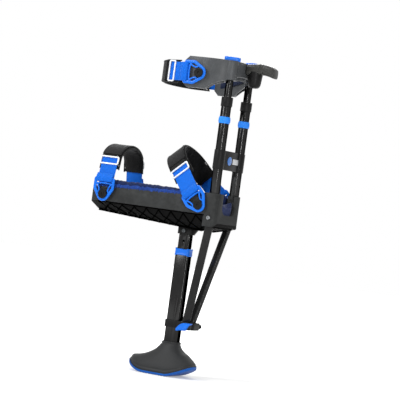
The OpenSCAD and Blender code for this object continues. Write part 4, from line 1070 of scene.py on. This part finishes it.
def makeWebbing(name, strap, seams=(0.5, 0.82), places=range(-21, 20, 4), length=2.8, lift=1.1):
    inner, outer = strap["inner"], strap["inner"] - webbing["loop"]
    start = strap["corner"] + strap["run"] * webbing["start"]
    low, flap = Vector((outer, webbing["flapLow"])), Vector((inner - webbing["flapIn"], webbing["flapTop"]))
    bar = [(x, *webbing["bar"]) for x in (inner, outer)]
    line = roundedLine([(*start, 0), (inner, strap["turn"], webbing["turnBend"]), *bar,
                        (*low, webbing["flapBend"]), (*flap, 0)], False, webbing["bendSteps"])
    bm = bmesh.new()
    makeStrip(bm, strap, line, *webbing["strip"])
    mirrorAcross(bm)
    standIn(bm, name + "_webbing", "webbingBlue", sharp=50)
    bm = bmesh.new()
    slope = (flap - low).normalized()
    proud = across * -slope.y + strap["up"] * slope.x
    for share in seams:
        spot = low.lerp(flap, share)
        for x in places:
            ends = [strapPoint(strap, end, spot) + proud * lift for end in (x, x + length)]
            addStitch(bm, *ends, proud)
    mirrorAcross(bm)
    finishPiece(bm, name + "WebStitches", "threadBlue", name + "_strap", sharp=60)


slider = dict(
    proud=3.5, frame=((26, 9.5, 3), (26, -9.5, 3), (-26, -9.5, 3), (-26, 9.5, 3)), bar=(4.0, 4.0, 1.3))


def makeSliders(name, strap):
    bm = bmesh.new()
    centre = strapPoint(strap, 0, strap["corner"] + strap["proud"] * slider["proud"])
    up = across * strap["run"].x + strap["up"] * strap["run"].y
    line = roundedLine(slider["frame"], True)
    sweep(bm, flatFrames(line, centre, strap["fore"], up, True), roundedBar(*slider["bar"]), joined=True)
    mirrorAcross(bm)
    standIn(bm, name + "_sliders", "sliderSilver", sharp=40)


def padStart(strap, drop=5.8):
    return strap["corner"] - strap["proud"] * drop


# the padded band's middle line: half an ellipse over the leg
def padLine(strap, proud=0.0, first=-90, last=90, steps=36, half=4):
    start = padStart(strap)
    rise = strap["high"] - half - start.y
    line = []
    for t in evenly(steps):
        angle = radians(mix(first, last, t))
        out = Vector((sin(angle) / -start.x, cos(angle) / rise)).normalized()
        line.append(Vector((-start.x * sin(angle), start.y + rise * cos(angle))) + out * proud)
    return line


# the cover over the pad ends in a lip above each slider, with a narrower tail that runs on to it
# each arc is (lift from the pad's middle, first and last angle, steps)
cover = dict(
    tailFrom=8, tail=(4.6, -80, -56, 8), tailStrip=(44, 1.8), band=(6.0, -68, 68, 36), bandStrip=(55, 3.2),
    seam=(7.6, -66, 66, 64), seamSide=24.5)


def makeCover(name, strap):
    bm = bmesh.new()
    tail = [strap["corner"] + strap["run"] * cover["tailFrom"]] + padLine(strap, *cover["tail"])
    makeStrip(bm, strap, tail, *cover["tailStrip"])
    mirrorAcross(bm)
    makeStrip(bm, strap, padLine(strap, *cover["band"]), *cover["bandStrip"])
    finishPiece(bm, name + "Cover", "strapWeave", name + "_strap", sharp=50)
    bm = bmesh.new()
    frames = stripFrames(strap, padLine(strap, *cover["seam"]))
    for side in (-cover["seamSide"], cover["seamSide"]):
        for (spot, fore, out), (after, foreAfter, _) in zip(frames[::2], frames[1::2]):
            addStitch(bm, spot / mm + fore * side, after / mm + foreAfter * side, -out)
    finishPiece(bm, name + "CoverStitches", "threadGrey", name + "_strap", sharp=60)


binding = dict(radii=(1.7, 1.9), points=12, side=28.4)


def makeBinding(name, strap, tail=22):
    low = padStart(strap) - strap["run"] * tail
    line = [low] + padLine(strap) + [Vector((-low.x, low.y))]
    wide, tall = binding["radii"]
    ring = [Vector((wide * cos(a), tall * sin(a))) for a in turns(binding["points"], 0)]
    bm = bmesh.new()
    for side in (-binding["side"], binding["side"]):
        sweep(bm, stripFrames(strap, line, side), ring)
    finishPiece(bm, name + "Binding", "strapEdge", name + "_strap", sharp=60)


for name, strap in straps.items():
    makePosts(name, strap)
    makeClip(name, strap, False)
    makeClip(name, strap, True)
    makeWebbing(name, strap)
    makeSliders(name, strap)
    makeCover(name, strap)
    makeBinding(name, strap)
print("straps done:", len(straps))


# padded parts swell in a cloth simulation from a remeshed copy of their CAD solid
strapPad = dict(finish="strapKnit", voxel=2.8, cap=1.8, shrink=0.5, fill=0.6)
pads = {
    "knee_pad": dict(finish="padNavy", voxel=4.0, cap=4.0, shrink=1.2, fill=0.6),
    "front_pad": dict(finish="padNavy", voxel=3.0, cap=3.0, shrink=1.0, fill=0.6),
    "thigh_liner": dict(finish="linerNavy", voxel=2.2, cap=1.2, shrink=0.3, fill=0.5),
    "calf_pad": strapPad,
    "knee_strap_pad": strapPad,
    "thigh_strap_pad": strapPad,
}
clothSettings = dict(
    quality=5, mass=0.25, tension_stiffness=12, compression_stiffness=12, shear_stiffness=4,
    bending_stiffness=0.4, use_pressure=True, uniform_pressure_force=4.0)
firstFrame, lastFrame = 1, 20


def remeshed(node, voxel):
    block = addObject("solid", meshOf(nodeCopy(node), "solid"))
    change = block.modifiers.new("remesh", "REMESH")
    change.mode = "VOXEL"
    change.voxel_size = voxel * mm
    fine = bpy.data.meshes.new_from_object(block.evaluated_get(bpy.context.evaluated_depsgraph_get()))
    bpy.data.objects.remove(block)
    return fine


def startPad(node, look, rounds=3, factor=0.4):
    bm = bmesh.new()
    bm.from_mesh(remeshed(node, look["voxel"]))
    for turn in range(rounds):
        bmesh.ops.smooth_vert(bm, verts=bm.verts, factor=factor,
                              use_axis_x=True, use_axis_y=True, use_axis_z=True)
    pushOut(bm, -look["shrink"] * mm)
    piece = standIn(bm, node, look["finish"], sharp=180)
    return piece


def addCloth(piece):
    cloth = piece.modifiers.new("cloth", "CLOTH")
    for key, value in clothSettings.items():
        setattr(cloth.settings, key, value)
    cloth.settings.effector_weights.gravity = 0.0
    cloth.collision_settings.use_collision = False
    cloth.point_cache.frame_start = firstFrame
    cloth.point_cache.frame_end = lastFrame


# each point moves as the cloth did, up to the pad's cap
def settlePads(pieces, least=1e-9):
    for frameNumber in range(firstFrame, lastFrame + 1):
        scene.frame_set(frameNumber)
    graph = bpy.context.evaluated_depsgraph_get()
    for node, piece in pieces.items():
        swollen = [v.co.copy() for v in piece.evaluated_get(graph).data.vertices]
        cap = pads[node]["cap"] * mm
        for vert, spot in zip(piece.data.vertices, swollen):
            move = spot - vert.co
            vert.co += move * min(1.0, cap / max(move.length, least))
        piece.modifiers.remove(piece.modifiers["cloth"])
    scene.frame_set(firstFrame)


softPieces = {node: startPad(node, look) for node, look in pads.items()}
for piece in softPieces.values():
    addCloth(piece)
settlePads(softPieces)
print("pads swollen:", len(softPieces))


# a ruffle stands on each rim of the platform, in a lighter copy of the pad's navy as painted highlight on its
# folds; a wander is (amount, run, row of the noise)
ruffle = dict(
    start=-238, end=52, side=75.3, foot=(466.6, 474.0), height=10.0, thick=1.4, corner=0.6, wave=11.0,
    sway=0.8, wander=(1.2, 26, 7), lift=1.3, liftWander=(0.8, 9, 3), tilt=0.35)


def wander(x, amount, run, row):
    return amount * noise.noise(Vector((x / run, row, 0)))


# the knee pad's cover is gathered along the rim in folds and held back by the ruffle
def gather(piece, side=(56, 10), rim=(466, 8), wave=10.5, amount=1.6, run=30, row=4, second=0.4, rate=2.3,
           lean=0.45, rise=0.8, depth=1.5, behind=1.5):
    held = (ruffle["side"] - behind) * mm
    for vert in piece.data.vertices:
        x, y, z = vert.co / mm
        edge = ramp(abs(y), *side) * ramp(z, *rim)
        phase = 2 * pi * (x / wave + wander(x, amount, run, copysign(row, y)))
        fold = sin(phase) + second * sin(rate * phase + 1)
        vert.co += Vector((0, copysign(lean, y), rise)) * (depth * fold * edge * mm)
        vert.co.y = min(max(vert.co.y, -held), held)


def makeRuffle(steps=300):
    frames = []
    for t in evenly(steps):
        x = mix(ruffle["start"], ruffle["end"], t)
        phase = 2 * pi * (x / ruffle["wave"] + wander(x, *ruffle["wander"]))
        y = -ruffle["side"] + ruffle["sway"] * sin(phase)
        lift = ruffle["lift"] * sin(phase * 0.5 + 1) + wander(x, *ruffle["liftWander"])
        tilt = ruffle["tilt"] * cos(phase)
        frames.append((at(x, y, mix(*ruffle["foot"], t) + ruffle["height"] / 2 + lift),
                       Vector((0, cos(tilt), -sin(tilt))), Vector((0, sin(tilt), cos(tilt)))))
    bm = bmesh.new()
    sweep(bm, frames, roundedBar(ruffle["thick"], ruffle["height"], ruffle["corner"]))
    mirrorAcross(bm)
    finishPiece(bm, "padRuffle", "trimBlue", "platform", sharp=70)


makeRuffle()
gather(softPieces["knee_pad"])
for piece in softPieces.values():
    finer = piece.modifiers.new("finer", "SUBSURF")
    finer.levels = finer.render_levels = 1
    piece.data.shade_smooth()

print("pieces done")
